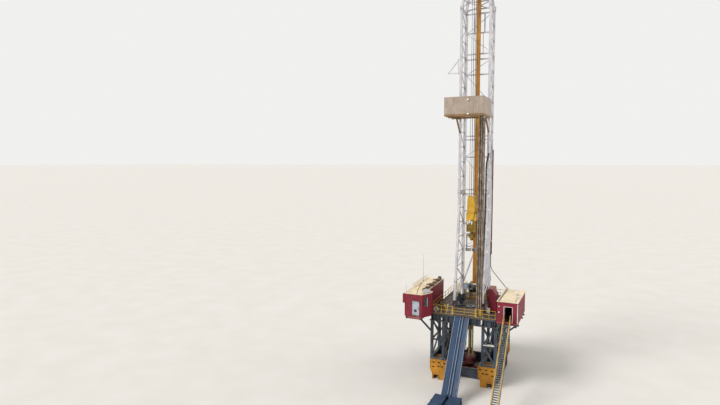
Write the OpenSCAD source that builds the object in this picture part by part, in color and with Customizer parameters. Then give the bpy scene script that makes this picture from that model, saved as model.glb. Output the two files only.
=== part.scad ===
// Oil drilling rig on two tall side boxes, at half its real size.
// Millimetres, +Z up. The V-door, its ramp and the catwalk face -Y.
// Sizes and places are taken from the well centre, and the whole is then
// moved so that the middle of its ground box is the origin.

/* [Substructure] */
// Top of the drill floor above the ground
floor_z = 4550; // [4200:50:4900]
// Well centre to the floor's front edge
floor_front = 2400; // [2200:50:2600]
// Well centre to the floor's back edge
floor_back = 3600; // [3400:50:4000]
// Half width of the floor
floor_half = 2150; // [2050:50:2250]
// Thickness of the floor deck
deck_t = 80; // [50:10:120]
// Depth of the beams under the deck
header_h = 480; // [400:20:600]
// Width over one side box
box_w = 950; // [850:25:1050]
// Side of a square post
post_w = 170; // [140:10:200]
// Width of a bracing bar
brace_w = 90; // [60:10:120]
// Bays along a side box
box_bays = 3; // [2:1:4]
// Height of the girders and pods on the ground
pod_h = 1350; // [1250:25:1450]
// Width of a walking pod
pod_w = 1150; // [1050:25:1200]
// Length of a walking pod
pod_l = 1000; // [900:25:1100]
// Plate thickness of a pod
pod_plate = 40; // [25:5:60]
// Front edge of the floor to the face of a pod
pod_inset = 225; // [100:25:350]

/* [Mast] */
// Half distance between the chords' centrelines, left to right
mast_half = 950; // [900:10:1000]
// Side of a square chord
chord_w = 150; // [120:10:170]
// Front chords behind the well centre, above the lean
mast_front = 250; // [200:25:300]
// Back chords behind the well centre
mast_back = 1450; // [1400:25:1550]
// Front feet ahead of the well centre
foot_front = 650; // [550:25:750]
// Height of the pedestals under the legs
shoe_h = 500; // [400:25:600]
// Height above the floor where the front chords become upright
lean_h = 6450; // [6000:50:6900]
// Height of the lower mast section above the floor
lower_h = 7750; // [7500:50:8000]
// Length of the straight upper mast section
upper_h = 12250; // [12000:50:12500]
// Height of the tapered crown section
crown_rise = 1950; // [1800:50:2150]
// Half width of the mast at the crown
crown_half = 560; // [500:10:650]
// Width of the lacing bars
lacing_w = 50; // [40:5:70]
// Height of a girt across the back
girt_w = 90; // [70:10:120]

/* [Racking board] */
// Underside of the racking board above the floor
board_rise = 12650; // [12450:50:12850]
// Half width of the board
board_half = 1230; // [1180:10:1280]
// Board's front edge ahead of the well centre
board_front = 2800; // [2600:50:3000]
// Board's back edge ahead of the well centre
board_rear = 500; // [400:25:600]
// Height of the wind walls
wind_h = 1050; // [900:50:1200]
// Fingers on each side of the middle walkway
finger_count = 12; // [8:1:12]
// Radius of a racked pipe
stand_r = 45; // [35:1:50]

/* [Hoist] */
// Middle of the guide beam behind the well centre
guide_y = 1150; // [1120:10:1160]
// Width of the guide beam
guide_w = 260; // [220:10:300]
// Depth of the guide beam
guide_d = 150; // [120:10:160]
// Bottom of the guide beam above the floor
guide_rise = 1350; // [1150:50:1750]
// Foot of the top drive's stem above the floor, at rest
drive_rise = 4550; // [4350:50:4750]
// Width of the top drive
drive_w = 620; // [560:20:660]
// Height of the top drive's housing
drive_h = 1300; // [1200:50:1400]
// Radius of a sheave
sheave_r = 300; // [270:10:310]

/* [Cabins] */
// Floor's edge to the doghouse
dog_gap = 125; // [100:5:200]
// Length of the doghouse
dog_l = 5000; // [4800:50:5200]
// Width of the doghouse
dog_w = 1125; // [1100:25:1150]
// Height of the doghouse walls
dog_h = 1400; // [1300:25:1500]
// Floor's edge to the right cabin
cab_gap = 75; // [50:5:150]
// Length of the right cabin
cab_l = 3300; // [3100:50:3500]
// Width of the right cabin
cab_w = 1250; // [1200:10:1270]
// Height of the right cabin's walls
cab_h = 1260; // [1200:20:1320]
// Thickness of a cabin wall
wall_t = 50; // [40:5:60]
// Door opening width
door_w = 475; // [440:5:500]
// Door opening height
door_h = 970; // [940:10:1000]
// Thickness of a door leaf
leaf_t = 25; // [15:5:30]
// Thickness of a cabin's floor frame
cabin_floor_t = 70; // [60:5:100]

/* [Machines] */
// Length of the drawworks' skid
draw_l = 2200; // [2100:50:2300]
// Depth of the drawworks' skid
draw_d = 1200; // [1100:50:1300]
// Radius of the drawworks' drum
drum_r = 270; // [240:10:290]
// Length of the drum between its cheeks
drum_l = 1200; // [1100:50:1250]
// Length of the machinery cabinet
cabinet_l = 800; // [700:50:900]
// Width of the machinery cabinet
cabinet_w = 550; // [500:25:600]
// Height of the machinery cabinet
cabinet_h = 1550; // [1400:50:1650]
// Radius of the air winch's drum
winch_r = 130; // [110:5:140]
// Height of the iron roughneck
neck_h = 900; // [850:50:1000]

/* [Access] */
// Length of the V-door ramp along the ground
ramp_run = 3050; // [2900:50:3200]
// Width of the ramp
ramp_w = 950; // [900:10:1000]
// Top of the catwalk
catwalk_z = 550; // [500:25:600]
// Width of the catwalk
catwalk_w = 1600; // [1500:50:1700]
// Length of one catwalk bay
catwalk_bay = 1200; // [1100:50:1300]
// Bays of the catwalk
catwalk_bays = 4; // [3:1:6]
// Width over the stair
stair_w = 425; // [400:5:450]
// Treads in the stair
tread_count = 45; // [40:1:48]
// Height of the handrails
rail_h = 530; // [500:10:560]
// Side of a square handrail tube
rail_w = 24; // [18:2:30]

/* [Hidden] */
$fn = 24;

// Overlap that makes one cut pass clean through a face
cut = 1;
// Running gap between pieces that lie side by side
gap = 5;
// Gap at a face that only rests or guides
seat = 0.3;

// Heights of the mast
leg_z = floor_z + shoe_h;
lean_top_z = floor_z + lean_h;
lower_top_z = floor_z + lower_h;
upper_top_z = lower_top_z + upper_h;
crown_z = upper_top_z + crown_rise;
board_z = floor_z + board_rise;

// Cabin places
locker_w = 200;
roof_over = 15;
dog_in = floor_half + dog_gap;
dog_out = dog_in + dog_w;
dog_front = -floor_front - 1300;
dog_back = dog_front + dog_l;
cab_in = floor_half + cab_gap;
cab_out = cab_in + cab_w;
cab_front = -floor_front - 300;
cab_back = cab_front + cab_l;
cab_door_x = cab_in + 435;

// Stair places: as long as it is high
stair_x = cab_door_x + 210;
stair_top_y = cab_front - 150;
stair_foot_y = stair_top_y - floor_z;

// Ground box of the whole rig, measured from the well centre
foot_y = -(floor_front + ramp_run);
catwalk_end = foot_y - catwalk_bay * catwalk_bays;
middle_x = (cab_out + roof_over - dog_out - locker_w) / 2;
middle_y = (catwalk_end + floor_back) / 2;

// Substructure places
outer_x = floor_half - post_w / 2;
inner_x = floor_half - box_w + post_w / 2;
beam_bottom = floor_z - deck_t - header_h;
pod_face = -floor_front + pod_inset;
pod_back = floor_back - pod_inset;
truss_front = pod_face + post_w / 2;
truss_back = pod_back - post_w / 2;
truss_mid_z = (pod_h + beam_bottom) / 2;

// Mast places
chord_in = mast_half - chord_w / 2;
chord_out = mast_half + chord_w / 2;
crown_lean = atan((mast_half - crown_half) / crown_rise);

// Flat bar of width w between two points of a plane
module bar(a, b, w) {
    d = b - a;
    translate(a) rotate(atan2(d[1], d[0])) translate([0, -w / 2]) square([norm(d), w]);
}

// A drawing in (y, z) made t thick about the plane x
module yz_plate(x, t) {
    translate([x - t / 2, 0, 0]) rotate([90, 0, 90]) linear_extrude(t) children();
}

// A drawing in (x, z) made t thick about the plane y
module xz_plate(y, t) {
    translate([0, y + t / 2, 0]) rotate([90, 0, 0]) linear_extrude(t) children();
}

// Block between two corners
module block(a, b) {
    translate(a) cube(b - a);
}

// Round bar along +X from a point
module rod_x(start, r, l) {
    translate(start) rotate([0, 90, 0]) cylinder(r = r, h = l);
}

// Outline of an I beam, w wide and h high, standing on y = 0
module i_outline(w, h, web, flange) {
    translate([-w / 2, 0]) square([w, flange]);
    translate([-web / 2, 0]) square([web, h]);
    translate([-w / 2, h - flange]) square([w, flange]);
}

// I beam along +X from x0 to x1, its middle at y and its foot at z
module i_beam_x(x0, x1, y, z, w, h, web, flange) {
    translate([x0, y, z]) rotate([90, 0, 90]) linear_extrude(x1 - x0) i_outline(w, h, web, flange);
}

// I beam along +Y from y0 to y1, its middle at x and its foot at z
module i_beam_y(y0, y1, x, z, w, h, web, flange) {
    translate([x, y1, z]) rotate([90, 0, 0]) linear_extrude(y1 - y0) i_outline(w, h, web, flange);
}

// Left and right copies of what is drawn on the right
module both_sides() {
    children();
    mirror([1, 0, 0]) children();
}

// A right-hand drawing, on the left where side is -1
module on_side(side) {
    if (side < 0) mirror([1, 0, 0]) children();
    else children();
}

// Substructure

skid_web = 25;
skid_flange = 40;
stiffener_t = 20;
stiffener_pitch = 600;

// Ground girders of one side box, joined by stiffener plates
module base_skid(side) {
    y0 = pod_face + pod_l;
    y1 = pod_back - pod_l;
    count = floor((y1 - y0) / stiffener_pitch);
    color("dimgray") on_side(side) {
        for (x = [inner_x, outer_x]) i_beam_y(y0, y1, x, 0, post_w, pod_h, skid_web, skid_flange);
        for (i = [0:count])
            let (y = y0 + stiffener_t / 2 + i * (y1 - y0 - stiffener_t) / count)
            block([inner_x - skid_web / 2, y - stiffener_t / 2, 0],
                  [outer_x + skid_web / 2, y + stiffener_t / 2, pod_h]);
    }
}

module spreader_beams() {
    half = inner_x - post_w / 2;
    color("dimgray") for (y = [pod_face + pod_l + post_w, pod_back - pod_l - post_w])
        i_beam_x(-half, half, y, 0, post_w, pod_h / 2, skid_web, skid_flange);
}

function truss_y(i) = truss_front + i * (truss_back - truss_front) / box_bays;

// One long side of a box: posts, chords, a middle strut and a diagonal in each panel
module side_truss(x) {
    l = truss_back - truss_front;
    yz_plate(x, post_w) {
        for (z = [pod_h, beam_bottom - post_w])
            translate([truss_front - post_w / 2, z]) square([l + post_w, post_w]);
        for (i = [0:box_bays])
            translate([truss_y(i) - post_w / 2, pod_h]) square([post_w, beam_bottom - pod_h]);
    }
    yz_plate(x, brace_w) {
        bar([truss_front, truss_mid_z], [truss_back, truss_mid_z], brace_w);
        for (i = [0:box_bays - 1]) {
            bar([truss_y(i), pod_h + post_w / 2], [truss_y(i + 1), truss_mid_z], brace_w);
            bar([truss_y(i + 1), truss_mid_z], [truss_y(i), beam_bottom - post_w / 2], brace_w);
        }
    }
}

module box_trusses(side) {
    color("slategray") on_side(side) for (x = [inner_x, outer_x]) side_truss(x);
}

// K bracing across the ends of both boxes, its point on the inner post
module end_frames() {
    a = inner_x + post_w / 2;
    b = outer_x - post_w / 2;
    h = brace_w / 2;
    color("slategray") both_sides() for (y = [truss_front, truss_back]) intersection() {
        xz_plate(y, brace_w) {
            bar([a, truss_mid_z], [b, truss_mid_z], brace_w);
            bar([a - h, truss_mid_z], [b + h, pod_h + post_w], brace_w);
            bar([a - h, truss_mid_z], [b + h, beam_bottom - h], brace_w);
            translate([a, pod_h]) square([b - a, brace_w]);
        }
        block([a, y - post_w, pod_h], [b, y + post_w, beam_bottom]);
    }
}

// Oblong cut with round ends, l long along x and w high
module slot_cut(l, w, t) {
    translate([0, 0, -t / 2]) linear_extrude(t) union() {
        square([l - w, w], center = true);
        for (s = [-1, 1]) translate([s * (l - w) / 2, 0]) circle(d = w);
    }
}

pod_over = 10;
pod_x0 = floor_half - pod_w + pod_over;
pod_x1 = floor_half + pod_over;
// Hand holes in a pod's end, as shares of its width and height
hand_holes = [[0.14, 0.84], [0.46, 0.85], [0.78, 0.84], [0.29, 0.66], [0.5, 0.66], [0.8, 0.61]];
hand_hole_w = 90;
hand_hole_l = 190;
// Doorway for the foot in a pod's end, in the same shares
foot_way = [0.5, 0.8, 0.22];
// Where a pod's sides start to slope in and where they stop, and by how much, in the same shares
pod_waist = 0.5;
pod_ankle = 0.25;
pod_taper = 0.15;

// Outline of a pod seen from its end, moved inwards by t
module pod_outline(t) {
    l = pod_taper * pod_w;
    polygon([[pod_x0 + t, pod_h - t], [pod_x0 + t, pod_waist * pod_h], [pod_x0 + l + t, pod_ankle * pod_h],
             [pod_x0 + l + t, -t], [pod_x1 - l - t, -t], [pod_x1 - l - t, pod_ankle * pod_h],
             [pod_x1 - t, pod_waist * pod_h], [pod_x1 - t, pod_h - t]]);
}

// Steel housing of a walking foot, open below, with oblong hand holes in its end wall
module pod(y0, face) {
    p = pod_plate;
    difference() {
        xz_plate(y0 + pod_l / 2, pod_l) pod_outline(0);
        xz_plate(y0 + pod_l / 2, pod_l - 2 * p) pod_outline(p);
        for (h = hand_holes)
            translate([pod_x0 + h[0] * pod_w, face, h[1] * pod_h]) rotate([90, 0, 0])
                slot_cut(hand_hole_l, hand_hole_w, 3 * p);
        block([pod_x0 + foot_way[0] * pod_w, face - 1.5 * p, -cut],
              [pod_x0 + foot_way[1] * pod_w, face + 1.5 * p, foot_way[2] * pod_h]);
    }
}

module walking_pods() {
    color("goldenrod") both_sides() {
        pod(pod_face, pod_face + pod_plate / 2);
        pod(pod_back - pod_l, pod_back - pod_plate / 2);
    }
}

foot_lift = 45;
foot_plate_t = 90;
foot_r = 330;
jack_r = 120;

// Lifting jack and round foot, carried by the pod's top plate
module walking_feet() {
    color("silver") both_sides() for (y = [pod_face + pod_l / 2, pod_back - pod_l / 2])
        translate([(pod_x0 + pod_x1) / 2, y, foot_lift]) {
            cylinder(r = foot_r, h = foot_plate_t);
            cylinder(r = jack_r, h = pod_h - pod_plate - foot_lift);
        }
}

beam_web = 30;
beam_flange = 45;
beam_flange_w = 220;
rotary_half = 450;

// Beam under the deck across the rig, from x0 to x1
module deck_beam_x(x0, x1, y) {
    i_beam_x(x0, x1, y, beam_bottom, beam_flange_w, header_h, beam_web, beam_flange);
}

// Beam under the deck along the rig, from y0 to y1
module deck_beam_y(y0, y1, x) {
    i_beam_y(y0, y1, x, beam_bottom, beam_flange_w, header_h, beam_web, beam_flange);
}

// Four long beams, and cross beams fitted between their flanges
module floor_beams() {
    h = beam_flange_w / 2;
    near = inner_x;
    far = floor_half - h;
    color("dimgray") {
        both_sides() {
            for (x = [near, far]) deck_beam_y(-floor_front, floor_back, x);
            deck_beam_y(-rotary_half + seat, rotary_half - seat, rotary_half + h);
        }
        for (y = [-floor_front + h, -rotary_half - h, rotary_half + h, mast_back, floor_back - h]) {
            deck_beam_x(-near + h + seat, near - h - seat, y);
            both_sides() deck_beam_x(near + h + seat, far - h - seat, y);
        }
    }
}

table_r = 340;
table_bore_r = 120;
table_rise = 60;
table_plate_t = 100;
table_under = 200;

module drill_floor() {
    color("gray") difference() {
        block([-floor_half, -floor_front, floor_z - deck_t], [floor_half, floor_back, floor_z]);
        translate([0, 0, floor_z - deck_t - cut]) cylinder(r = table_r, h = deck_t + 2 * cut, $fn = 48);
    }
}

// Turning table in the deck's hole, its gear case below
module rotary_table() {
    z0 = floor_z - deck_t - table_under;
    color("darkslategray") difference() {
        union() {
            translate([0, 0, z0 + cut])
                cylinder(r = table_r - seat, h = floor_z + table_rise - z0 - cut, $fn = 48);
            block([-rotary_half, -rotary_half, z0], [rotary_half, rotary_half, z0 + table_plate_t]);
        }
        translate([0, 0, z0 - cut])
            cylinder(r = table_bore_r, h = table_under + deck_t + table_rise + 2 * cut);
    }
}

// Well equipment

bop_r = 190;
bop_flange_r = 300;
bop_flange_t = 60;
bop_bore_r = 70;
bop_dome_r = 440;
bop_dome_z = 630;
bop_top_z = 1600;
// Ram bonnets that reach out on both sides, by the middle of their height
bonnet_rows = [180, 420];
bonnet_reach = 620;
bonnet_d = 340;
bonnet_h = 180;

// Blowout preventer: flanged stack of rams under a round dome
module blowout_preventer() {
    top = bop_top_z - bop_dome_z;
    color("maroon") difference() {
        union() {
            for (z = [0, bop_dome_z - bop_flange_t + 10])
                translate([0, 0, z]) cylinder(r = bop_flange_r, h = bop_flange_t, $fn = 48);
            cylinder(r = bop_r, h = bop_dome_z, $fn = 48);
            for (z = bonnet_rows)
                block([-bonnet_reach, -bonnet_d / 2, z - bonnet_h / 2],
                      [bonnet_reach, bonnet_d / 2, z + bonnet_h / 2]);
            translate([0, 0, bop_dome_z]) rotate_extrude($fn = 48) polygon([
                [0, 0], [bop_dome_r - 40, 0], [bop_dome_r, 60], [bop_dome_r, 480],
                [bop_dome_r - 90, 640], [bop_dome_r - 190, 740], [bop_dome_r / 2, 790],
                [bop_dome_r / 2, top], [0, top]]);
        }
        translate([0, 0, -cut]) cylinder(r = bop_bore_r, h = bop_top_z + 2 * cut);
    }
}

nipple_r = 110;
nipple_bore_r = 90;
nipple_flange_r = 200;
nipple_flange_t = 50;
// Wider head of the riser, from this far above the preventer
nipple_head_r = 170;
nipple_head_z = 1400;
nipple_l = floor_z - deck_t - table_under - seat - bop_top_z;

// Riser from the preventer to the floor
module bell_nipple() {
    color("darkkhaki") translate([0, 0, bop_top_z]) difference() {
        union() {
            cylinder(r = nipple_flange_r, h = nipple_flange_t);
            cylinder(r = nipple_r, h = nipple_l);
            translate([0, 0, nipple_head_z]) cylinder(r = nipple_head_r, h = nipple_l - nipple_head_z);
        }
        translate([0, 0, -cut]) cylinder(r = nipple_bore_r, h = nipple_l + 2 * cut);
    }
}

// Access

ramp_t = 120;
ramp_plate = 35;
trough_d = 70;
ridge_in = 50;
ridge_out = 110;
ramp_edge = 45;
ramp_bevel = 60;

// Half of the ramp's section: a pipe trough beside a small middle groove
function ramp_half_points(s) = let (half = ramp_w / 2) [
    [0, -ramp_t], [s * half, -ramp_t], [s * half, 0], [s * (half - ramp_edge), 0],
    [s * (half - ramp_bevel), ramp_plate - trough_d], [s * (ridge_out + ramp_bevel), -trough_d],
    [s * ridge_out, 0], [s * (ridge_out - ramp_edge), 0], [s * ridge_in, -trough_d], [0, -trough_d]];

// Ramp, cut off level with the catwalk's end and plumb with the floor's edge
module v_door_ramp() {
    rise = floor_z - catwalk_z;
    slope = atan(rise / ramp_run);
    over = 200;
    color("steelblue") intersection() {
        translate([0, foot_y, catwalk_z]) rotate([slope, 0, 0]) translate([0, -over, 0])
            rotate([-90, 0, 0]) mirror([0, 1, 0]) linear_extrude(norm([rise, ramp_run]) + 2 * over)
            for (s = [-1, 1]) polygon(ramp_half_points(s));
        block([-ramp_w / 2, foot_y, 0], [ramp_w / 2, -floor_front, floor_z]);
    }
}

trough_half = 90;
trough_t = 20;
deck_plate = 40;
catwalk_beam_h = 150;
catwalk_beam_t = 20;
catwalk_leg = 90;

// Cross bearer on two legs, its top at z
module catwalk_frame(y, z) {
    half = catwalk_w / 2;
    d = catwalk_leg / 2;
    both_sides() block([half - catwalk_leg, y - d, 0], [half, y + d, z]);
    block([-half, y - d, z - catwalk_leg], [half, y + d, z]);
}

// Catwalk: two deck halves on cross frames with a pipe trough between them
module catwalk() {
    half = catwalk_w / 2;
    y0 = catwalk_end;
    l = foot_y - catwalk_end;
    z = catwalk_z - deck_plate - catwalk_beam_h;
    color("steelblue") {
        both_sides() {
            block([trough_half, y0, catwalk_z - deck_plate], [half, foot_y, catwalk_z]);
            for (x = [half - catwalk_leg / 2, trough_half + catwalk_leg / 2])
                i_beam_y(y0, foot_y, x, z, catwalk_leg, catwalk_beam_h, catwalk_beam_t, catwalk_beam_t);
        }
        block([-trough_half + seat, y0, z], [trough_half - seat, foot_y, z + trough_t]);
        for (i = [0:catwalk_bays])
            catwalk_frame(y0 + catwalk_leg / 2 + i * (l - catwalk_leg) / catwalk_bays, z - seat);
    }
}

// Stair at forty-five degrees

stringer_t = 30;
stringer_d = 140;
stringer_drop = stringer_d / 4;
stair_in = stair_w / 2 - stringer_t;
tread_d = 110;
tread_t = 20;

module stair_stringers() {
    over = 200;
    color("slategray") for (s = [-1, 1]) intersection() {
        yz_plate(stair_x + s * (stair_w - stringer_t) / 2, stringer_t)
            bar([stair_foot_y - over, -over - stringer_drop],
                [stair_top_y + over, floor_z + over - stringer_drop], stringer_d);
        block([stair_x - stair_w, stair_foot_y - over, 0], [stair_x + stair_w, stair_top_y, floor_z]);
    }
}

module stair_treads() {
    pitch = floor_z / (tread_count + 1);
    color("slategray") for (i = [1:tread_count]) let (y = stair_foot_y + i * pitch)
        block([stair_x - stair_in, y - tread_d / 2, i * pitch - tread_t],
              [stair_x + stair_in, y + tread_d / 2, i * pitch]);
}

// Sloping rail with posts standing on the stringers
module stair_handrails() {
    posts = 9;
    foot_in = 150;
    top_in = 60;
    half = rail_w / 2;
    lift = stringer_d / 2 * sqrt(2) - stringer_drop + seat;
    pitch = (floor_z - foot_in - top_in - rail_w) / posts;
    color("gold") for (s = [-1, 1]) yz_plate(stair_x + s * (stair_w - stringer_t) / 2, rail_w) {
        for (h = [rail_h, rail_h / 2])
            bar([stair_foot_y + foot_in, foot_in + lift + h],
                [stair_top_y - top_in, floor_z - top_in + lift + h], rail_w);
        for (i = [0:posts])
            let (z = foot_in + half + i * pitch, y = stair_foot_y + z)
            polygon([[y - half, z - half + lift], [y + half, z + half + lift],
                     [y + half, z + lift + rail_h], [y - half, z + lift + rail_h]]);
    }
}

// A straight run of handrail, drawn in a plane from 0 to l
module rail_run(l, posts) {
    for (h = [rail_h - rail_w / 2, rail_h / 2]) bar([0, h], [l, h], rail_w);
    square([l, rail_w]);
    for (i = [0:posts]) translate([i * (l - rail_w) / posts, 0]) square([rail_w, rail_h]);
}

rail_inset = 40;
rail_y = -floor_front + rail_inset;
gate_left = -600;
gate_right = 820;
gate_post_w = 60;
gate_post_over = 30;
gate_foot = 60;
gate_h = 400;
gate_pin_r = 12;
gate_ear_t = 12;
gate_pin_x = gate_left + gate_pin_r + gap;
// Yellow stand behind the rail, right of the gate
tall_post_x = 1120;
tall_post_w = 150;
tall_post_d = 90;
tall_post_h = 450;

module floor_handrails() {
    x = floor_half - rail_inset;
    left = gate_left - gate_post_w;
    right = gate_right + gate_post_w;
    color("gold") translate([0, 0, floor_z]) {
        xz_plate(rail_y, rail_w) {
            translate([-x + rail_w, 0]) rail_run(x - rail_w + left - gap, 4);
            translate([right + gap, 0]) rail_run(x - rail_w - right - gap, 3);
        }
        for (px = [left, gate_right])
            translate([px, rail_y - gate_post_w / 2, 0])
                cube([gate_post_w, gate_post_w, rail_h + gate_post_over]);
        for (z = [gate_foot - gate_ear_t - seat, gate_foot + gate_h + seat])
            block([gate_left - cut, rail_y - gate_pin_r, z],
                  [gate_pin_x + gate_pin_r, rail_y + gate_pin_r, z + gate_ear_t]);
        translate([tall_post_x - tall_post_w / 2, rail_y + gate_post_w, 0])
            cube([tall_post_w, tall_post_d, tall_post_h]);
        yz_plate(-x, rail_w) translate([rail_y + 2 * rail_w, 0])
            rail_run(floor_back - rail_y - rail_inset - 3 * rail_w, 8);
        yz_plate(x, rail_w) translate([cab_back + gap, 0]) rail_run(floor_back - cab_back - 3 * rail_w, 5);
        xz_plate(floor_back - rail_inset, rail_w) translate([-x + 2 * rail_w, 0])
            rail_run(2 * x - 4 * rail_w, 6);
    }
}

// Barred gate across the V-door, its round stile turning between ears on the left post
module v_door_gate() {
    l = gate_right - gap - gate_pin_x;
    color("gold") translate([gate_pin_x, rail_y, floor_z + gate_foot]) {
        cylinder(r = gate_pin_r, h = gate_h);
        xz_plate(0, rail_w - 4) {
            for (h = [rail_w / 2, gate_h / 2, gate_h - rail_w / 2]) bar([0, h], [l, h], rail_w);
            for (x = [l / 2, l - rail_w]) translate([x, 0]) square([rail_w, gate_h]);
        }
    }
}

// Hinges and doors

barrel_r = 9;
barrel_h = 60;
strap_t = 6;
strap_l = 70;
hinge_rows = [0.12, 0.5, 0.88];
door_gap = 6;

// Barrels and straps at every hinge, on the leaf's side of the axis or on the jamb's
module hinge_barrels(h, leaf_side) {
    for (f = hinge_rows) translate([0, 0, f * h + (leaf_side ? seat : -barrel_h)]) {
        cylinder(r = barrel_r, h = barrel_h);
        translate([leaf_side ? 0 : -strap_l, barrel_r - strap_t, 0]) cube([strap_l, strap_t, barrel_h]);
    }
}

// Leaf drawn closed, its hinge axis at the origin and the wall's face at y = barrel_r
module door_leaf() {
    translate([door_gap, barrel_r, door_gap]) cube([door_w - 2 * door_gap, leaf_t, door_h - 2 * door_gap]);
    hinge_barrels(door_h, true);
}

// Doghouse: a long cabin with a slanted control bay at its inner front corner

bay_x = -(floor_half - 250);
bay_back = -floor_front - 200;
bay_front_y = -floor_front - 600;
bay_dir = atan2(bay_front_y - dog_front, bay_x + dog_in);
dog_door_x = -dog_out + 480;
roof_t = 50;

// Outline of the doghouse, moved inwards by t
function dog_plan(t) = [
    [-dog_out + t, dog_front + t], [-dog_in - t * tan(bay_dir / 2), dog_front + t],
    [bay_x - t, bay_front_y + t * tan(45 - bay_dir / 2)], [bay_x - t, bay_back - t],
    [-dog_in - t, bay_back - t], [-dog_in - t, dog_back - t], [-dog_out + t, dog_back - t]];

landing_l = 400;
landing_side = 200;
landing_t = 40;

module doghouse_floor() {
    z = floor_z - cabin_floor_t;
    color("firebrick") {
        translate([0, 0, z]) linear_extrude(cabin_floor_t) polygon(dog_plan(0));
        block([dog_door_x - landing_side, dog_front - landing_l, z],
              [dog_door_x + door_w + landing_side, dog_front, z + landing_t]);
    }
}

window_in = 180;
window_w = 400;
window_h = 560;
window_z = 620;
pane_t = 10;

// The frame of the slanted window: x along the wall, y through it
module at_window() {
    translate([-dog_in, dog_front, floor_z + window_z]) rotate([0, 0, bay_dir])
        translate([window_in, 0, 0]) children();
}

module doghouse_walls() {
    color("firebrick") difference() {
        translate([0, 0, floor_z]) linear_extrude(dog_h) difference() {
            polygon(dog_plan(0));
            polygon(dog_plan(wall_t));
        }
        block([dog_door_x, dog_front - cut, floor_z - cut],
              [dog_door_x + door_w, dog_front + wall_t + cut, floor_z + door_h]);
        at_window() translate([0, -wall_t, 0]) cube([window_w, 3 * wall_t, window_h]);
    }
    color("firebrick") translate([dog_door_x, dog_front - barrel_r, floor_z]) hinge_barrels(door_h, false);
}

module doghouse_glass() {
    color("lightblue") at_window() translate([seat, (wall_t - pane_t) / 2, seat])
        cube([window_w - 2 * seat, pane_t, window_h - 2 * seat]);
}

module doghouse_roof() {
    color("wheat") translate([0, 0, floor_z + dog_h]) linear_extrude(roof_t) polygon(dog_plan(-roof_over));
}

module doghouse_door() {
    color("lightgray") translate([dog_door_x, dog_front - barrel_r, floor_z]) door_leaf();
}

locker_l = 1000;
locker_h = 620;
locker_in = 100;
locker_slope = 60;

// Side locker under the roof's outer edge, with a sloping lid
module doghouse_locker() {
    z1 = floor_z + dog_h - 20;
    z0 = z1 - locker_h;
    color("firebrick") xz_plate(dog_front + locker_in + locker_l / 2, locker_l)
        polygon([[-dog_out, z0], [-dog_out, z1],
                 [-dog_out - locker_w, z1 - locker_slope], [-dog_out - locker_w, z0]]);
}

support_h = 150;
support_w = 100;
strut_w = 90;
strut_drop = 1300;

// Cantilever brackets from a side box under a cabin that spans y0 to y1, drawn on the right
module brackets(y0, y1, x0, x1) {
    top = floor_z - cabin_floor_t;
    under = top - support_h;
    color("dimgray") {
        for (x = [x0 + support_w, x1 - support_w])
            block([x - support_w / 2, y0, under], [x + support_w / 2, y1, top]);
        for (y = [truss_y(0), truss_y(1), y1 - support_w]) intersection() {
            xz_plate(y, support_w) {
                bar([floor_half, under - support_w / 2], [x1, under - support_w / 2], support_w);
                bar([floor_half - 60, top - strut_drop], [x1 - support_h, under - 60], strut_w);
            }
            block([floor_half, y - support_w, 0], [x1, y + support_w, under + cut]);
        }
    }
}

module doghouse_supports() {
    mirror([1, 0, 0]) brackets(dog_front, dog_back, dog_in, dog_out);
}

// Right cabin over the head of the stair

cab_open = 100;

module cabin_floor() {
    color("firebrick") block([cab_in, stair_top_y, floor_z - cabin_floor_t], [cab_out, cab_back, floor_z]);
}

// The frame of the right cabin's door: the hinge axis, with the leaf on the inner face
module at_cabin_door() {
    translate([cab_door_x, cab_front + wall_t + barrel_r, floor_z]) children();
}

module cabin_walls() {
    color("firebrick") {
        difference() {
            block([cab_in, cab_front, floor_z], [cab_out, cab_back, floor_z + cab_h]);
            block([cab_in + wall_t, cab_front + wall_t, floor_z - cut],
                  [cab_out - wall_t, cab_back - wall_t, floor_z + cab_h + cut]);
            block([cab_door_x, cab_front - cut, floor_z - cut],
                  [cab_door_x + door_w, cab_front + wall_t + cut, floor_z + door_h]);
        }
        at_cabin_door() mirror([0, 1, 0]) hinge_barrels(door_h, false);
    }
}

// Leaf hung on the left jamb, standing open into the cabin
module cabin_door() {
    color("lightgray") at_cabin_door() rotate([0, 0, cab_open]) mirror([0, 1, 0]) door_leaf();
}

module cabin_supports() {
    brackets(stair_top_y, cab_back, cab_in, cab_out);
}

// Cable that hangs from the mast's right leg to the right cabin's roof
cable_r = 22;
cable_points = [
    [1070, 1170, 8900], [1070, 1170, 7500], [1085, 1160, 7280], [1135, 1135, 7110], [1215, 1095, 6960],
    [1325, 1035, 6835], [1620, 880, 6550], [1910, 730, 6275], [2200, 575, 6005]];
cable_step = 110;
cable_sides = 8;

function unit(v) = v / norm(v);

// Places along the route, none further apart than cable_step
cable_path = [
    for (i = [0:len(cable_points) - 2])
        let (a = cable_points[i], d = cable_points[i + 1] - a, n = ceil(norm(d) / cable_step))
        for (j = [0:n - 1]) a + d * j / n,
    cable_points[len(cable_points) - 1]];
cable_last = len(cable_path) - 1;
cable_end = cable_path[cable_last];
cable_end_dir = unit(cable_end - cable_path[cable_last - 1]);

// Ring of points round place i of the route
function cable_ring(i) =
    let (d = unit(cable_path[min(i + 1, cable_last)] - cable_path[max(i - 1, 0)]),
         v = unit(cross(d, [0.466, 0.885, 0])), u = cross(v, d))
    [for (j = [0:cable_sides - 1]) let (a = 360 * j / cable_sides)
        cable_path[i] + cable_r * (cos(a) * u + sin(a) * v)];

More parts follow.
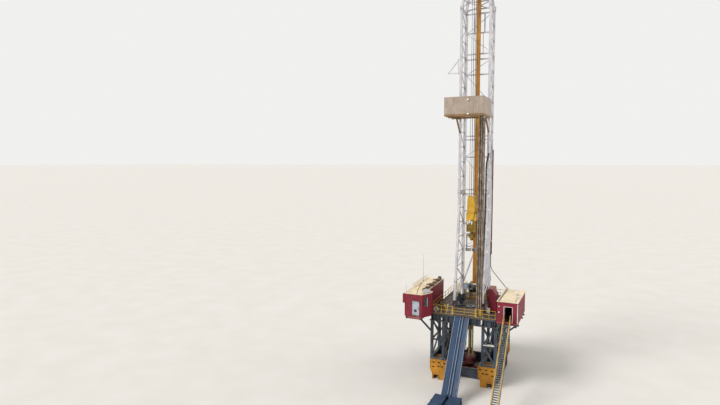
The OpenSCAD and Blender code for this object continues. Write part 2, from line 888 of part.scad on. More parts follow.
module cabin_cable() {
    k = cable_sides;
    color("black") polyhedron(
        points = [for (i = [0:cable_last]) each cable_ring(i)],
        faces = [
            [for (j = [0:k - 1]) j],
            [for (j = [k - 1:-1:0]) cable_last * k + j],
            for (i = [0:cable_last - 1]) for (j = [0:k - 1])
                [i * k + j, (i + 1) * k + j, (i + 1) * k + (j + 1) % k, i * k + (j + 1) % k]]);
}

cab_roof_t = 45;
gland_r = 34;
gland_l = 120;
junction = [150, 150, 130];

// Roof with the junction box and gland that take the cable
module cabin_roof() {
    top = floor_z + cab_h + cab_roof_t;
    root = cable_end + gland_l * cable_end_dir;
    color("wheat") {
        block([cab_in - roof_over, cab_front - roof_over, floor_z + cab_h],
              [cab_out + roof_over, cab_back + roof_over, top]);
        translate([root[0] - junction[0] / 4, root[1] - junction[1] / 2, top - cut]) cube(junction);
        translate(root) rotate([0, 0, atan2(-cable_end_dir[1], -cable_end_dir[0])])
            rotate([0, 90 - asin(-cable_end_dir[2]), 0]) cylinder(r = gland_r, h = gland_l);
    }
}

// Machinery on the floor

skid_h = 120;
draw_x0 = -950;
draw_y0 = floor_back - 1500;
drum_rise = 500;
drum_z = floor_z + skid_h + drum_rise;
cheek_t = 80;
cheek_in = 80;
cheek_taper = 60;
cheek_shoulder = 320;
cheek_rise = 480;
brake_r = 330;
brake_l = 550;

// Cheek plate that carries one end of the drum
module drum_cheek(x, y) {
    foot = draw_d / 2 - cheek_in;
    yz_plate(x, cheek_t) polygon([
        [y - foot, floor_z + skid_h - cut], [y + foot, floor_z + skid_h - cut],
        [y + foot - cheek_taper, drum_z + cheek_shoulder], [y + foot / 2, drum_z + cheek_rise],
        [y - foot / 2, drum_z + cheek_rise], [y - foot + cheek_taper, drum_z + cheek_shoulder]]);
}

// Drawworks: drum between two cheeks, and the brake's housing beside it
module drawworks() {
    y = draw_y0 + draw_d / 2;
    brake_x = drum_l / 2 + 50;
    color("goldenrod") {
        block([draw_x0, draw_y0, floor_z], [draw_x0 + draw_l, draw_y0 + draw_d, floor_z + skid_h]);
        for (s = [-1, 1]) drum_cheek(s * drum_l / 2, y);
        rod_x([-drum_l / 2, y, drum_z], drum_r, drum_l);
        rod_x([brake_x, y, drum_z], brake_r, brake_l);
        block([brake_x + 30, y - brake_r, floor_z + skid_h - cut],
              [brake_x + brake_l - 20, y + brake_r, drum_z]);
    }
}

draw_cabinet_w = 500;
draw_cabinet_h = 1000;

module drawworks_cabinet() {
    x1 = draw_x0 - 50;
    color("wheat") block([x1 - draw_cabinet_w, draw_y0, floor_z],
                         [x1, draw_y0 + draw_d, floor_z + draw_cabinet_h]);
}

cabinet_x1 = floor_half - 300;
cabinet_y0 = -750;

// Red cabinet beside the right leg, its outer top corner cut back
module machinery_cabinet() {
    x0 = cabinet_x1 - cabinet_w;
    color("darkred") translate([0, 0, floor_z]) xz_plate(cabinet_y0 + cabinet_l / 2, cabinet_l) polygon([
        [x0, 0], [cabinet_x1, 0], [cabinet_x1, cabinet_h - 400],
        [(x0 + cabinet_x1) / 2, cabinet_h - 50], [x0, cabinet_h]]);
}

winch_x = -(floor_half - 600);
winch_y = -1100;
winch_base = [440, 300, 40];
winch_cheek = [40, 260, 2 * winch_r + 160];
winch_drum_z = winch_r + 100;
winch_motor = [130, 180, 170];

module air_winch() {
    at = winch_base[0] / 2 - winch_cheek[0];
    color("goldenrod") translate([winch_x, winch_y, floor_z]) {
        translate([-winch_base[0] / 2, -winch_base[1] / 2, 0]) cube(winch_base);
        for (x = [-at - winch_cheek[0], at]) translate([x, -winch_cheek[1] / 2, 0]) cube(winch_cheek);
        rod_x([-at, 0, winch_drum_z], winch_r, 2 * at);
        translate([at + winch_cheek[0] - cut, -winch_motor[1] / 2, winch_drum_z - winch_motor[2] / 2])
            cube(winch_motor);
    }
}

neck_x = -680;
neck_y = 150;

// Box of size s standing at z about the axis
module upright_box(s, z) {
    translate([-s[0] / 2, -s[1] / 2, z]) cube(s);
}

// Iron roughneck: column on a foot, carrying the spinner over the wrench
module iron_roughneck() {
    color("brown") translate([neck_x, neck_y, floor_z]) {
        upright_box([520, 520, 60], 0);
        upright_box([180, 180, neck_h], 0);
        upright_box([480, 460, 320], 300);
        upright_box([340, 400, neck_h - 620 - 80], 620);
    }
}

// Mast

shoe_flare = 120;
shoe_base_t = 60;
shoe_side = 60;
shoe_cap = 160;
cheek_plate_t = 30;

// Pedestals under the four legs
module mast_shoes() {
    h = chord_w / 2;
    color("indigo") both_sides() for (y = [-foot_front, mast_back]) translate([mast_half, y, 0]) {
        block([-h - shoe_flare, -h - shoe_flare, floor_z],
              [h + shoe_flare, h + shoe_flare, floor_z + shoe_base_t]);
        for (x = [-h - 40, h + 10])
            block([x, -h - shoe_side, floor_z], [x + cheek_plate_t, h + shoe_side, leg_z - shoe_cap + cut]);
        block([-h - 40, -h - shoe_side, leg_z - shoe_cap], [h + 40, h + shoe_side, leg_z]);
    }
}

// Front chord's distance behind the well centre at a height
function front_y(z) = z >= lean_top_z ? mast_front :
    -foot_front + (mast_front + foot_front) * (z - leg_z) / (lean_top_z - leg_z);

lower_panels = 7;
upper_panels = 12;
lacing_foot = 250;

// Zigzag between the front and back chords from z0 to z1
module zigzag(z0, z1, n) {
    for (i = [0:n - 1])
        let (a = z0 + i * (z1 - z0) / n, b = z0 + (i + 1) * (z1 - z0) / n, back = i % 2 == 0) {
            bar(back ? [front_y(a), a] : [mast_back, a], back ? [mast_back, b] : [front_y(b), b], lacing_w);
            if (i > 0) bar([front_y(a), a], [mast_back, a], lacing_w);
        }
}

module mast_lower_side(side) {
    joint = 40;
    color("gainsboro") on_side(side) intersection() {
        union() {
            yz_plate(mast_half, chord_w) {
                bar([front_y(leg_z), leg_z - joint], [mast_front, lean_top_z], chord_w);
                translate([mast_front - chord_w / 2, lean_top_z - joint])
                    square([chord_w, lower_top_z - lean_top_z + joint]);
                translate([mast_back - chord_w / 2, leg_z]) square([chord_w, lower_top_z - leg_z]);
                translate([mast_front, lower_top_z - chord_w]) square([mast_back - mast_front, chord_w]);
            }
            yz_plate(mast_half, lacing_w)
                zigzag(leg_z + lacing_foot, lower_top_z - chord_w / 2, lower_panels);
        }
        block([0, -floor_front, leg_z], [floor_half, floor_back, lower_top_z]);
    }
}

module mast_upper_side(side) {
    color("gainsboro") on_side(side) {
        yz_plate(mast_half, chord_w) {
            for (y = [mast_front, mast_back])
                translate([y - chord_w / 2, lower_top_z]) square([chord_w, upper_h]);
            for (z = [lower_top_z, upper_top_z - chord_w])
                translate([mast_front, z]) square([mast_back - mast_front, chord_w]);
        }
        yz_plate(mast_half, lacing_w)
            zigzag(lower_top_z + chord_w / 2, upper_top_z - chord_w / 2, upper_panels);
    }
}

rod_w = 36;
end_girt = 150;
// Girts of the two sections by their share of the height, with others just inside the sections' ends
lower_girts = [for (h = [0.503, 0.619, 0.71, 0.826]) floor_z + h * lower_h, lower_top_z - end_girt];
upper_girts = [
    lower_top_z + end_girt,
    for (h = [0.196, 0.294, 0.314, 0.49, 0.655, 0.739, 0.768, 0.882]) lower_top_z + h * upper_h,
    upper_top_z - end_girt];
// Sloping rods of the upper section, each from a girt on the left to one on the right
upper_rods = [[1, 0], [1, 2], [5, 4], [5, 6], [8, 7], [8, 9]];

// Girt between the back chords
module back_girt(z) {
    translate([-chord_in, z - girt_w / 2]) square([2 * chord_in, girt_w]);
}

back_brace_rise = 350;

module mast_lower_back() {
    foot_z = leg_z + back_brace_rise;
    color("gainsboro") intersection() {
        union() {
            xz_plate(mast_back, girt_w) {
                for (z = lower_girts) back_girt(z);
                for (s = [-1, 1]) bar([0, lower_girts[0]], [s * chord_out, foot_z], girt_w);
            }
            xz_plate(mast_back, rod_w) for (i = [0:len(lower_girts) - 2])
                let (s = i % 2 == 0 ? 1 : -1)
                bar([-s * chord_in, lower_girts[i]], [s * chord_in, lower_girts[i + 1]], rod_w);
        }
        block([-chord_in, 0, leg_z], [chord_in, floor_back, lower_top_z]);
    }
}

hang_x = 345;

module mast_upper_back() {
    last = len(upper_girts) - 1;
    color("gainsboro") intersection() {
        union() {
            xz_plate(mast_back, girt_w) {
                for (z = upper_girts) back_girt(z);
                for (x = [-hang_x, hang_x])
                    bar([x, upper_girts[last - 1]], [x, upper_girts[last]], girt_w);
            }
            xz_plate(mast_back, rod_w) for (p = upper_rods)
                bar([-chord_in, upper_girts[p[0]]], [chord_in, upper_girts[p[1]]], rod_w);
        }
        block([-chord_in, 0, lower_top_z], [chord_in, floor_back, upper_top_z]);
    }
}

crown_panels = 3;
crown_bar = 80;

// Half distance between the chords' centrelines in the tapered top
function crown_x(z) = mast_half - (mast_half - crown_half) * (z - upper_top_z) / crown_rise;

// The same to the chords' inner faces, less the seat
function crown_in(z) = crown_x(z) - chord_w / 2 / cos(crown_lean) - seat;

// Right side of the tapered top: two chords with lacing between them
module crown_side() {
    over = 25;
    l = crown_rise / cos(crown_lean) / crown_panels;
    for (y = [mast_front, mast_back]) xz_plate(y, chord_w)
        bar([crown_x(upper_top_z - over), upper_top_z - over],
            [crown_x(crown_z + over), crown_z + over], chord_w);
    translate([mast_half, 0, upper_top_z]) rotate([0, -crown_lean, 0]) yz_plate(0, lacing_w)
        for (i = [0:crown_panels - 1]) let (a = i * l, b = a + l, up = i % 2 == 0) {
            bar([up ? mast_front : mast_back, a], [up ? mast_back : mast_front, b], lacing_w);
            bar([mast_front, b - lacing_w], [mast_back, b - lacing_w], lacing_w);
        }
}

// Crossed bars and girts fitted between the back chords of the tapered top
module crown_back() {
    l = crown_rise / crown_panels;
    girts = [upper_top_z + end_girt,
             for (i = [1:crown_panels]) min(upper_top_z + i * l, crown_z - crown_bar / 2)];
    intersection() {
        union() {
            for (i = [0:crown_panels - 1]) let (a = upper_top_z + i * l, b = a + l) for (s = [-1, 1])
                bar([s * crown_x(a), a], [-s * crown_x(b), b], lacing_w);
            for (z = girts) bar([-crown_x(z), z], [crown_x(z), z], crown_bar);
        }
        polygon([for (s = [-1, 1]) each [
            [s * crown_in(s < 0 ? upper_top_z : crown_z), s < 0 ? upper_top_z : crown_z],
            [s * crown_in(s < 0 ? crown_z : upper_top_z), s < 0 ? crown_z : upper_top_z]]]);
    }
}

// Tapered top of the mast
module crown_section() {
    color("gainsboro") {
        intersection() {
            both_sides() crown_side();
            block([-chord_out - chord_w, 0, upper_top_z], [chord_out + chord_w, floor_back, crown_z]);
        }
        xz_plate(mast_back, lacing_w) crown_back();
    }
}

crown_beam_h = 260;
crown_beam_w = 120;
crown_beam_t = 25;
crown_over = 120;
crown_reach = 420;
platform_t = 25;
shaft_r = 60;
sheave_t = 60;
groove_d = 45;
sheave_pitch = 130;
crown_sheave_z = crown_z + crown_beam_h + 60;

// Grooved sheave on a shaft along X
module sheave(x, z) {
    rim = sheave_r - groove_d;
    hub = shaft_r - 10;
    translate([x - sheave_t / 2, 0, z]) rotate([0, 90, 0]) rotate_extrude($fn = 40) polygon([
        [hub, 0], [sheave_r, 0], [rim, sheave_t / 2 - 8], [rim, sheave_t / 2 + 8],
        [sheave_r, sheave_t], [hub, sheave_t]]);
}

// Crown beams, platform and the cluster of sheaves over the well
module crown_block() {
    w = crown_beam_w;
    z = crown_z;
    top = z + crown_beam_h;
    x1 = crown_half + chord_w / 2 + crown_over;
    y0 = -crown_reach;
    y1 = mast_back + chord_w / 2 + crown_over;
    color("lightgray") {
        for (s = [-1, 1]) {
            i_beam_y(y0, y1, s * crown_half, z, w, crown_beam_h, crown_beam_t, crown_beam_t);
            block([s * crown_half - w / 2, -90, top - cut], [s * crown_half + w / 2, 90, top + 130]);
        }
        for (y = [y0 + w / 2, mast_front + 150, mast_back])
            i_beam_x(-crown_half, crown_half, y, z, w, crown_beam_h, crown_beam_t, crown_beam_t);
        rod_x([-crown_half, 0, crown_sheave_z], shaft_r, 2 * crown_half);
        for (i = [-2:2]) sheave(i * sheave_pitch, crown_sheave_z);
    }
    color("gold") translate([0, 0, top]) {
        difference() {
            block([-x1, y0, 0], [x1, y1, platform_t]);
            block([-crown_half + 70, y0 + 100, -cut], [crown_half - 70, mast_front + 90, platform_t + cut]);
        }
        for (s = [-1, 1]) yz_plate(s * (x1 - rail_w / 2), rail_w) translate([y0, 0]) rail_run(y1 - y0, 5);
        for (y = [y0 + rail_w / 2, y1 - rail_w / 2])
            xz_plate(y, rail_w) translate([-x1, 0]) rail_run(2 * x1, 4);
    }
}

standpipe_r = 35;
standpipe_rise = 3450;
standpipe_l = 7200;

module standpipe() {
    color("firebrick") translate([chord_out + standpipe_r + seat, mast_back, floor_z + standpipe_rise])
        cylinder(r = standpipe_r, h = standpipe_l);
}

plate_t = 12;
plate_foot = 1650;
plate_head = 2200;
clamp = [80, 90, 90];

// Plate on the outer face of the right leg, with the clamp that the cable hangs from
module leg_side_plate() {
    z0 = floor_z + plate_foot;
    z1 = lower_top_z + plate_head;
    y1 = mast_back - standpipe_r - gap;
    top = cable_points[0];
    color("lightsteelblue") {
        yz_plate(chord_out + plate_t / 2, plate_t) polygon([
            [front_y(z0), z0], [y1, z0], [y1, lower_top_z - 100], [mast_front + 300, z1], [mast_front, z1],
            [mast_front, lean_top_z]]);
        translate([chord_out + plate_t - cut, top[1] - clamp[1] / 2, top[2]]) cube(clamp);
    }
}

// Swinging davit on the left front chord
davit_rise = 7990;
davit_z = lower_top_z + davit_rise;
davit_h = 925;
davit_reach = 740;
davit_w = 50;
davit_pin_r = 15;
davit_ear_t = 40;
davit_ear_half = 45;
davit_x = -(chord_out + 90);

module davit() {
    h = davit_w / 2;
    color("gainsboro") {
        xz_plate(mast_front, davit_w) {
            bar([davit_x, davit_z + h], [davit_x - davit_reach, davit_z + h], davit_w);
            bar([davit_x, davit_z + davit_h - 40], [davit_x - davit_reach + h, davit_z + h], davit_w);
            translate([davit_x - h, davit_z]) square([davit_w, davit_h]);
        }
        translate([davit_x, mast_front, davit_z - davit_ear_t])
            cylinder(r = davit_pin_r, h = davit_h + 2 * davit_ear_t);
    }
}

// Ears on the chord that the davit's pins turn in
module davit_brackets() {
    e = davit_ear_half;
    color("gainsboro") for (z = [davit_z - davit_ear_t - seat, davit_z + davit_h + seat]) difference() {
        block([davit_x - e, mast_front - e, z], [-chord_out, mast_front + e, z + davit_ear_t]);
        translate([davit_x, mast_front, z - cut]) cylinder(r = davit_pin_r + seat, h = davit_ear_t + 2 * cut);
    }
}

// Racking board

board_t = 120;
finger_w = 45;
finger_h = 50;
finger_in = 60;
walk_half = 180;
walk_t = 60;
edge_w = 100;
knee_drop = 900;
knee_reach = 300;
board_top = board_z + board_t;

function finger_y(i) =
    let (l = board_front - board_rear - 2 * (edge_w + finger_in))
    -board_front + edge_w + finger_in + i * l / finger_count;

// Frame and middle walkway, on arms and knees from the front chords
module racking_board() {
    y0 = -board_front;
    y1 = -board_rear;
    arm_y = mast_front - chord_w / 2;
    z = board_z;
    color("peru") {
        for (y = [y0, y1 - edge_w]) block([-board_half, y, z], [board_half, y + edge_w, board_top]);
        both_sides() {
            block([board_half - edge_w, y0, z], [board_half, y1, board_top]);
            block([chord_in, y1 - cut, z], [chord_out, arm_y, board_top]);
            yz_plate(mast_half, brace_w) intersection() {
                bar([y1 - knee_reach, z + board_t / 2], [mast_front, z - knee_drop], brace_w);
                translate([y1 - 2 * knee_reach, z - knee_drop - brace_w])
                    square([arm_y - y1 + 2 * knee_reach, knee_drop + brace_w + cut]);
            }
        }
        block([-walk_half, y0 + cut, board_top - walk_t], [walk_half, y1 - cut, board_top]);
    }
}

// Fingers between the walkway and the side beams, which hold the stands apart
module board_fingers() {
    color("peru") both_sides() for (i = [0:finger_count])
        block([walk_half, finger_y(i) - finger_w / 2, board_top - finger_h],
              [board_half - edge_w, finger_y(i) + finger_w / 2, board_top]);
}

wind_t = 20;

module wind_walls() {
    z1 = board_top + wind_h;
    color("tan") {
        block([-board_half, -board_front, board_top], [board_half, -board_front + wind_t, z1]);
        both_sides() block([board_half - wind_t, -board_front, board_top], [board_half, -board_rear, z1]);
    }
}

stand_cols = 4;
stand_rows = 3;
stand_pitch = 130;
stand_x = 560;
stand_over = 350;
first_slot = 6;

// Stands of pipe racked between the fingers on the right
module pipe_stands() {
    color("rosybrown") for (i = [0:stand_cols - 1]) for (j = [first_slot:first_slot + stand_rows - 1])
        translate([stand_x + i * stand_pitch, (finger_y(j) + finger_y(j + 1)) / 2, floor_z])
            cylinder(r = stand_r, h = board_top + stand_over - floor_z);
}

// Hoist

guide_ties = [lower_girts[1], lower_girts[3], upper_girts[1], upper_girts[4], upper_girts[5], upper_girts[8]];

// Guide beam of the top drive with its ties to the back girts
module guide_beam() {
    h = girt_w / 2;
    color("orange") {
        block([-guide_w / 2, guide_y - guide_d / 2, floor_z + guide_rise],
              [guide_w / 2, guide_y + guide_d / 2, crown_z]);
        for (z = guide_ties) block([-guide_w / 4, guide_y, z - h], [guide_w / 4, mast_back - h, z + h]);
    }
}

drive_z = floor_z + drive_rise;
stem_l = 600;
stem_r = 110;
clutch_r = 220;
clutch_h = 260;
clutch_z = 180;
drive_body_z = drive_z + stem_l;
block_h = 900;
block_sheave = 450;
hook_l = 250;
block_z = drive_body_z + drive_h + hook_l;
cheek_x = 215;
block_cheek_t = 30;
carriage_y = guide_y - guide_d / 2;

// Travelling block: three sheaves between two cheeks, hung over the top drive by its hook
module travelling_block() {
    side = sheave_r + 30;
    color("gold") translate([0, 0, block_z]) {
        both_sides() yz_plate(cheek_x, block_cheek_t) polygon([
            [-120, 0], [120, 0], [side, 300], [side, 620], [140, block_h],
            [-140, block_h], [-side, 620], [-side, 300]]);
        for (i = [-1:1]) sheave(i * sheave_pitch, block_sheave);
        rod_x([-cheek_x, 0, block_sheave], shaft_r, 2 * cheek_x);
        block([-cheek_x, -90, 0], [cheek_x, 90, 80]);
        translate([0, 0, -hook_l]) cylinder(r = 80, h = hook_l + 10);
    }
}

// Two links hang on the top drive's pins by their eyes
link_x = 330;
link_r = 35;
link_eye_r = 80;
link_eye_t = 80;
link_pin_r = 38;
link_pin_z = drive_z + 330;
link_l = 900;
wrap_t = 45;
wrap_h = 200;
drive_front = -280;
drive_back = 330;

// Top drive: motor housing, stem and clutch, and a carriage round the guide beam
module top_drive() {
    z = drive_body_z;
    inner = guide_w / 2 + seat;
    pin_l = 2 * link_x + link_eye_t + 40;
    color("goldenrod") {
        block([-drive_w / 2, drive_front, z], [drive_w / 2, drive_back, z + drive_h]);
        translate([0, 0, drive_z]) cylinder(r = stem_r, h = stem_l + 20);
        translate([0, 0, drive_z + clutch_z]) cylinder(r = clutch_r, h = clutch_h);
        rod_x([-pin_l / 2, 0, link_pin_z], link_pin_r, pin_l);
        for (zz = [z + 100, z + drive_h - 300]) {
            both_sides() block([inner, drive_back - 10, zz],
                               [inner + wrap_t, guide_y + guide_d / 2 - 20, zz + wrap_h]);
            block([-inner - wrap_t, drive_back - 10, zz], [inner + wrap_t, carriage_y - seat, zz + wrap_h]);
        }
    }
}

elevator_h = 170;
elevator_half = 110;
elevator_bore_r = 60;

// Two links with the elevator that lifts the pipe
module pipe_links() {
    z = link_pin_z - link_l;
    x = link_x + 60;
    color("whitesmoke") difference() {
        union() {
            for (s = [-1, 1]) {
                translate([s * link_x, 0, z]) cylinder(r = link_r, h = link_l - link_eye_r + 10);
                rod_x([s * link_x - link_eye_t / 2, 0, link_pin_z], link_eye_r, link_eye_t);
            }
            block([-x, -elevator_half, z + 10 - elevator_h], [x, elevator_half, z + 10]);
        }
        translate([0, 0, z - elevator_h]) cylinder(r = elevator_bore_r, h = elevator_h + 20);
        rod_x([-2 * link_x, 0, link_pin_z], link_pin_r + seat, 4 * link_x);
    }
}

line_r = 12;

// Parts of line between the crown's sheaves and the travelling block's, one down each side of a sheave
module drilling_lines() {
    y = sheave_r - groove_d + line_r + seat;
    z0 = block_z + block_sheave;
    color("dimgray") for (i = [-1:1]) for (s = [-1, 1])
        translate([i * sheave_pitch, s * y, z0]) cylinder(r = line_r, h = crown_sheave_z - z0);
}

module at_origin() {
    translate([-middle_x, -middle_y, 0]) children();
}

at_origin() {
    base_skid(-1);  // base_skid_left
    base_skid(1);  // base_skid_right
    spreader_beams();
    box_trusses(-1);  // box_trusses_left
    box_trusses(1);  // box_trusses_right
    end_frames();
    walking_pods();
    walking_feet();
    floor_beams();
    drill_floor();
    rotary_table();
    blowout_preventer();
    bell_nipple();
    v_door_ramp();
    catwalk();
    stair_stringers();
    stair_treads();
    stair_handrails();
    floor_handrails();
    v_door_gate();
    doghouse_floor();
    doghouse_walls();
    doghouse_roof();
    doghouse_door();
    doghouse_glass();
    doghouse_locker();
    doghouse_supports();
    cabin_floor();
    cabin_walls();
    cabin_roof();
    cabin_door();
    cabin_supports();
    cabin_cable();
    drawworks();
    drawworks_cabinet();
    machinery_cabinet();
    air_winch();
    iron_roughneck();
    mast_shoes();
    mast_lower_side(-1);  // mast_lower_left
    mast_lower_side(1);  // mast_lower_right
    mast_lower_back();
    mast_upper_side(-1);  // mast_upper_left
    mast_upper_side(1);  // mast_upper_right
    mast_upper_back();
    crown_section();
    crown_block();
    leg_side_plate();
    davit_brackets();
    davit();
    racking_board();
    board_fingers();
    wind_walls();
    guide_beam();
    travelling_block();
    top_drive();
    pipe_links();
    drilling_lines();
    pipe_stands();
    standpipe();
}
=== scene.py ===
"""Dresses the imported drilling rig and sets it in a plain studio.

The frame holds the rig's construction. Each class here dresses one sub-assembly: it gives the frame's nodes
their finish and makes the small parts that the frame leaves out. Sizes are metres of the half-size model,
measured from the well centre, with +Z up and the V-door facing -Y.
"""
import logging
import math
from dataclasses import dataclass
from enum import Enum
from functools import cache
from itertools import product
from typing import Sequence

import bmesh
import bpy
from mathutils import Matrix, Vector


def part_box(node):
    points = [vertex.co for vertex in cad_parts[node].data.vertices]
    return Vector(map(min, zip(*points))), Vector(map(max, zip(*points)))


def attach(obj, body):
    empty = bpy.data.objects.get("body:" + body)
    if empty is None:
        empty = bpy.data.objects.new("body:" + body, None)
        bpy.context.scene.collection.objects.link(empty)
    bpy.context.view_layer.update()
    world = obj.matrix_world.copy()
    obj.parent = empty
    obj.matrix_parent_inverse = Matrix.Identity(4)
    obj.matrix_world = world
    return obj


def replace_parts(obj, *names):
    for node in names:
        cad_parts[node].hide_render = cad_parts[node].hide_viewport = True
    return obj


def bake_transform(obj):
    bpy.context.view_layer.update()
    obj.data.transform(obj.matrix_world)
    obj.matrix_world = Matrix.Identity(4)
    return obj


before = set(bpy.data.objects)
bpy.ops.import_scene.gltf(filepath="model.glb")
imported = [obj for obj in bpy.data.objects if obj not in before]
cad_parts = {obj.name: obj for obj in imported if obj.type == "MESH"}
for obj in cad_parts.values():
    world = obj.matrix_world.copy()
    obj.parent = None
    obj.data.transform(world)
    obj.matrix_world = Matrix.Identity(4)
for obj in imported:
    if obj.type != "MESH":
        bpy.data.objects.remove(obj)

log = logging.getLogger("rig")

Place = Sequence[float]
Profile = Sequence[tuple[float, float]]
Socket = bpy.types.NodeSocket

UP = Vector((0, 0, 1))
X_AXIS = Vector((1, 0, 0))
Y_AXIS = Vector((0, 1, 0))
# Signs of the left and the right, the front and the back, or the two faces of a plate
BOTH = (-1, 1)


def well_centre() -> Vector:
    """Returns the well centre on the ground, in the frame."""
    low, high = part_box("rotary_table")
    return Vector(((low.x + high.x) / 2, (low.y + high.y) / 2, 0))


WELL = well_centre()


def node_box(name: str) -> tuple[Vector, Vector]:
    """Gives a frame node's lowest and highest corner, measured from the well centre."""
    low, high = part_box(name)
    return low - WELL, high - WELL


def part(name: str, corner: int, axis: int) -> float:
    """Gives one coordinate of a frame node's box: corner 0 is the lowest and 1 the highest."""
    return node_box(name)[corner][axis]


def add_object(name: str, data: bpy.types.ID) -> bpy.types.Object:
    """Puts an object into the scene.

    Args:
        name: the object's name.
        data: its mesh, curve, camera or lamp.

    Returns:
        The new object.
    """
    made = bpy.data.objects.new(name, data)
    bpy.context.scene.collection.objects.link(made)
    return made


# Finishes


def linear(hex_colour: str) -> tuple[float, float, float, float]:
    """Turns an sRGB hex colour into linear red, green, blue and alpha.

    Args:
        hex_colour: colour as "#rrggbb".

    Returns:
        Four linear values, the last of them 1.
    """
    values = [int(hex_colour[i:i + 2], 16) / 255 for i in (1, 3, 5)]
    red, green, blue = (v / 12.92 if v <= 0.04045 else ((v + 0.055) / 1.055) ** 2.4 for v in values)
    return red, green, blue, 1.0


def per_metre(size_mm: float) -> float:
    """Gives a texture's scale for a pattern whose marks are that many millimetres wide on the model."""
    return 1000 / size_mm


def add_node(tree: bpy.types.NodeTree, kind: str, sockets: dict | None = None, **settings: object) -> bpy.types.Node:
    """Adds one node, sets its properties and fills its sockets.

    Args:
        tree: tree that gets the node.
        kind: Blender's name for the type of node.
        sockets: input name or number, to a value or to the output that feeds it.
        settings: properties such as operation.

    Returns:
        The new node.
    """
    made = tree.nodes.new(kind)
    for key, value in settings.items():
        setattr(made, key, value)
    for key, value in (sockets or {}).items():
        if isinstance(value, Socket):
            tree.links.new(value, made.inputs[key])
        else:
            made.inputs[key].default_value = value
    return made


class Coats:
    """One material, laid coat over coat as paint, dirt and wear lie on the real thing."""

    def __init__(self, name: str, base: str, metallic: float = 0.0, roughness: float = 0.5) -> None:
        """Starts with the bare surface.

        Args:
            name: the material's name.
            base: hex colour under all coats.
            metallic: the shader's metallic value.
            roughness: roughness of the bare surface.
        """
        self.material = bpy.data.materials.new(name)
        self.material.use_nodes = True
        self.tree = self.material.node_tree
        self.shader = self.tree.nodes["Principled BSDF"]
        self.shader.inputs["Metallic"].default_value = metallic
        self.place = add_node(self.tree, "ShaderNodeTexCoord").outputs["Object"]
        self.colour: object = linear(base)
        self.roughness: object = roughness

    def patches(self, size_mm: float, low: float, high: float, most: float = 1.0, detail: float = 3.0,
                stretch: Place = (1, 1, 1), harshness: float = 0.5) -> Socket:
        """Makes a mask of uneven patches.

        Args:
            size_mm: size of a patch.
            low: noise level where the mask leaves 0.
            high: noise level where the mask reaches its most.
            most: highest value of the mask.
            detail: octaves of finer noise.
            stretch: factors on the pattern along X, Y and Z; a small one draws it out.
            harshness: how strong the finer octaves are.

        Returns:
            The mask.
        """
        spread = add_node(self.tree, "ShaderNodeMapping", {"Vector": self.place, "Scale": stretch})
        noise = add_node(self.tree, "ShaderNodeTexNoise", {
            "Vector": spread.outputs[0], "Scale": per_metre(size_mm), "Detail": detail, "Roughness": harshness})
        return add_node(self.tree, "ShaderNodeMapRange", {
            "Value": noise.outputs["Fac"], "From Min": low, "From Max": high, "To Max": most}).outputs[0]

    def ridges(self, pitch_mm: float, direction: str, turn: float = 0.0, unevenness: float = 0.0) -> Socket:
        """Makes a mask of parallel ridges.

        Args:
            pitch_mm: distance from one ridge to the next.
            direction: axis across them, X, Y, Z or DIAGONAL.
            turn: angle in degrees that the pattern is turned about Z.
            unevenness: how much they waver.

        Returns:
            The mask.
        """
        spread = add_node(self.tree, "ShaderNodeMapping", {
            "Vector": self.place, "Rotation": (0, 0, math.radians(turn))})
        # A wave texture has one ridge in a twentieth of 2 pi at scale 1
        scale = per_metre(pitch_mm) * 2 * math.pi / 20
        return add_node(self.tree, "ShaderNodeTexWave", {
            "Vector": spread.outputs[0], "Scale": scale, "Distortion": unevenness},
            bands_direction=direction).outputs["Fac"]

    def joined(self, operation: str, first: object, second: object) -> Socket:
        """Joins two masks or numbers by one of Blender's operations."""
        return add_node(self.tree, "ShaderNodeMath", {0: first, 1: second}, operation=operation).outputs[0]

    def settled(self, mask: Socket) -> Socket:
        """Keeps a mask only on faces that look up, where dust settles.

        Args:
            mask: where there is dust.

        Returns:
            The mask with nothing left on steep faces.
        """
        normal = add_node(self.tree, "ShaderNodeNewGeometry").outputs["Normal"]
        height = add_node(self.tree, "ShaderNodeSeparateXYZ", {0: normal}).outputs[2]
        upward = add_node(self.tree, "ShaderNodeMapRange", {"Value": height, "From Min": 0.35, "From Max": 0.9})
        return self.joined("MULTIPLY", upward.outputs[0], mask)

    def cover(self, mask: Socket, colour: str, roughness: float) -> None:
        """Lays a coat where a mask is.

        Args:
            mask: where the coat lies.
            colour: hex colour of the coat.
            roughness: its roughness.
        """
        self.colour = add_node(self.tree, "ShaderNodeMix", {0: mask, 6: self.colour, 7: linear(colour)},
                               data_type="RGBA").outputs[2]
        self.roughness = add_node(self.tree, "ShaderNodeMix", {0: mask, 2: self.roughness, 3: roughness}).outputs[0]

    def finish(self, height: Socket | None = None, depth_mm: float = 1.0,
               strength: float = 0.6) -> bpy.types.Material:
        """Joins the coats to the shader.

        Args:
            height: mask that raises the surface, or None for a smooth one.
            depth_mm: how far it raises it.
            strength: how strongly that shows.

        Returns:
            The material.
        """
        for name, value in (("Base Color", self.colour), ("Roughness", self.roughness)):
            if isinstance(value, Socket):
                self.tree.links.new(value, self.shader.inputs[name])
            else:
                self.shader.inputs[name].default_value = value
        if height:
            bump = add_node(self.tree, "ShaderNodeBump", {
                "Height": height, "Distance": depth_mm / 1000, "Strength": strength})
            self.tree.links.new(bump.outputs[0], self.shader.inputs["Normal"])
        return self.material


@dataclass(frozen=True)
class Finish:
    """What every finish has: its material's name and the record's slot that it stands for."""

    name: str
    slot: str


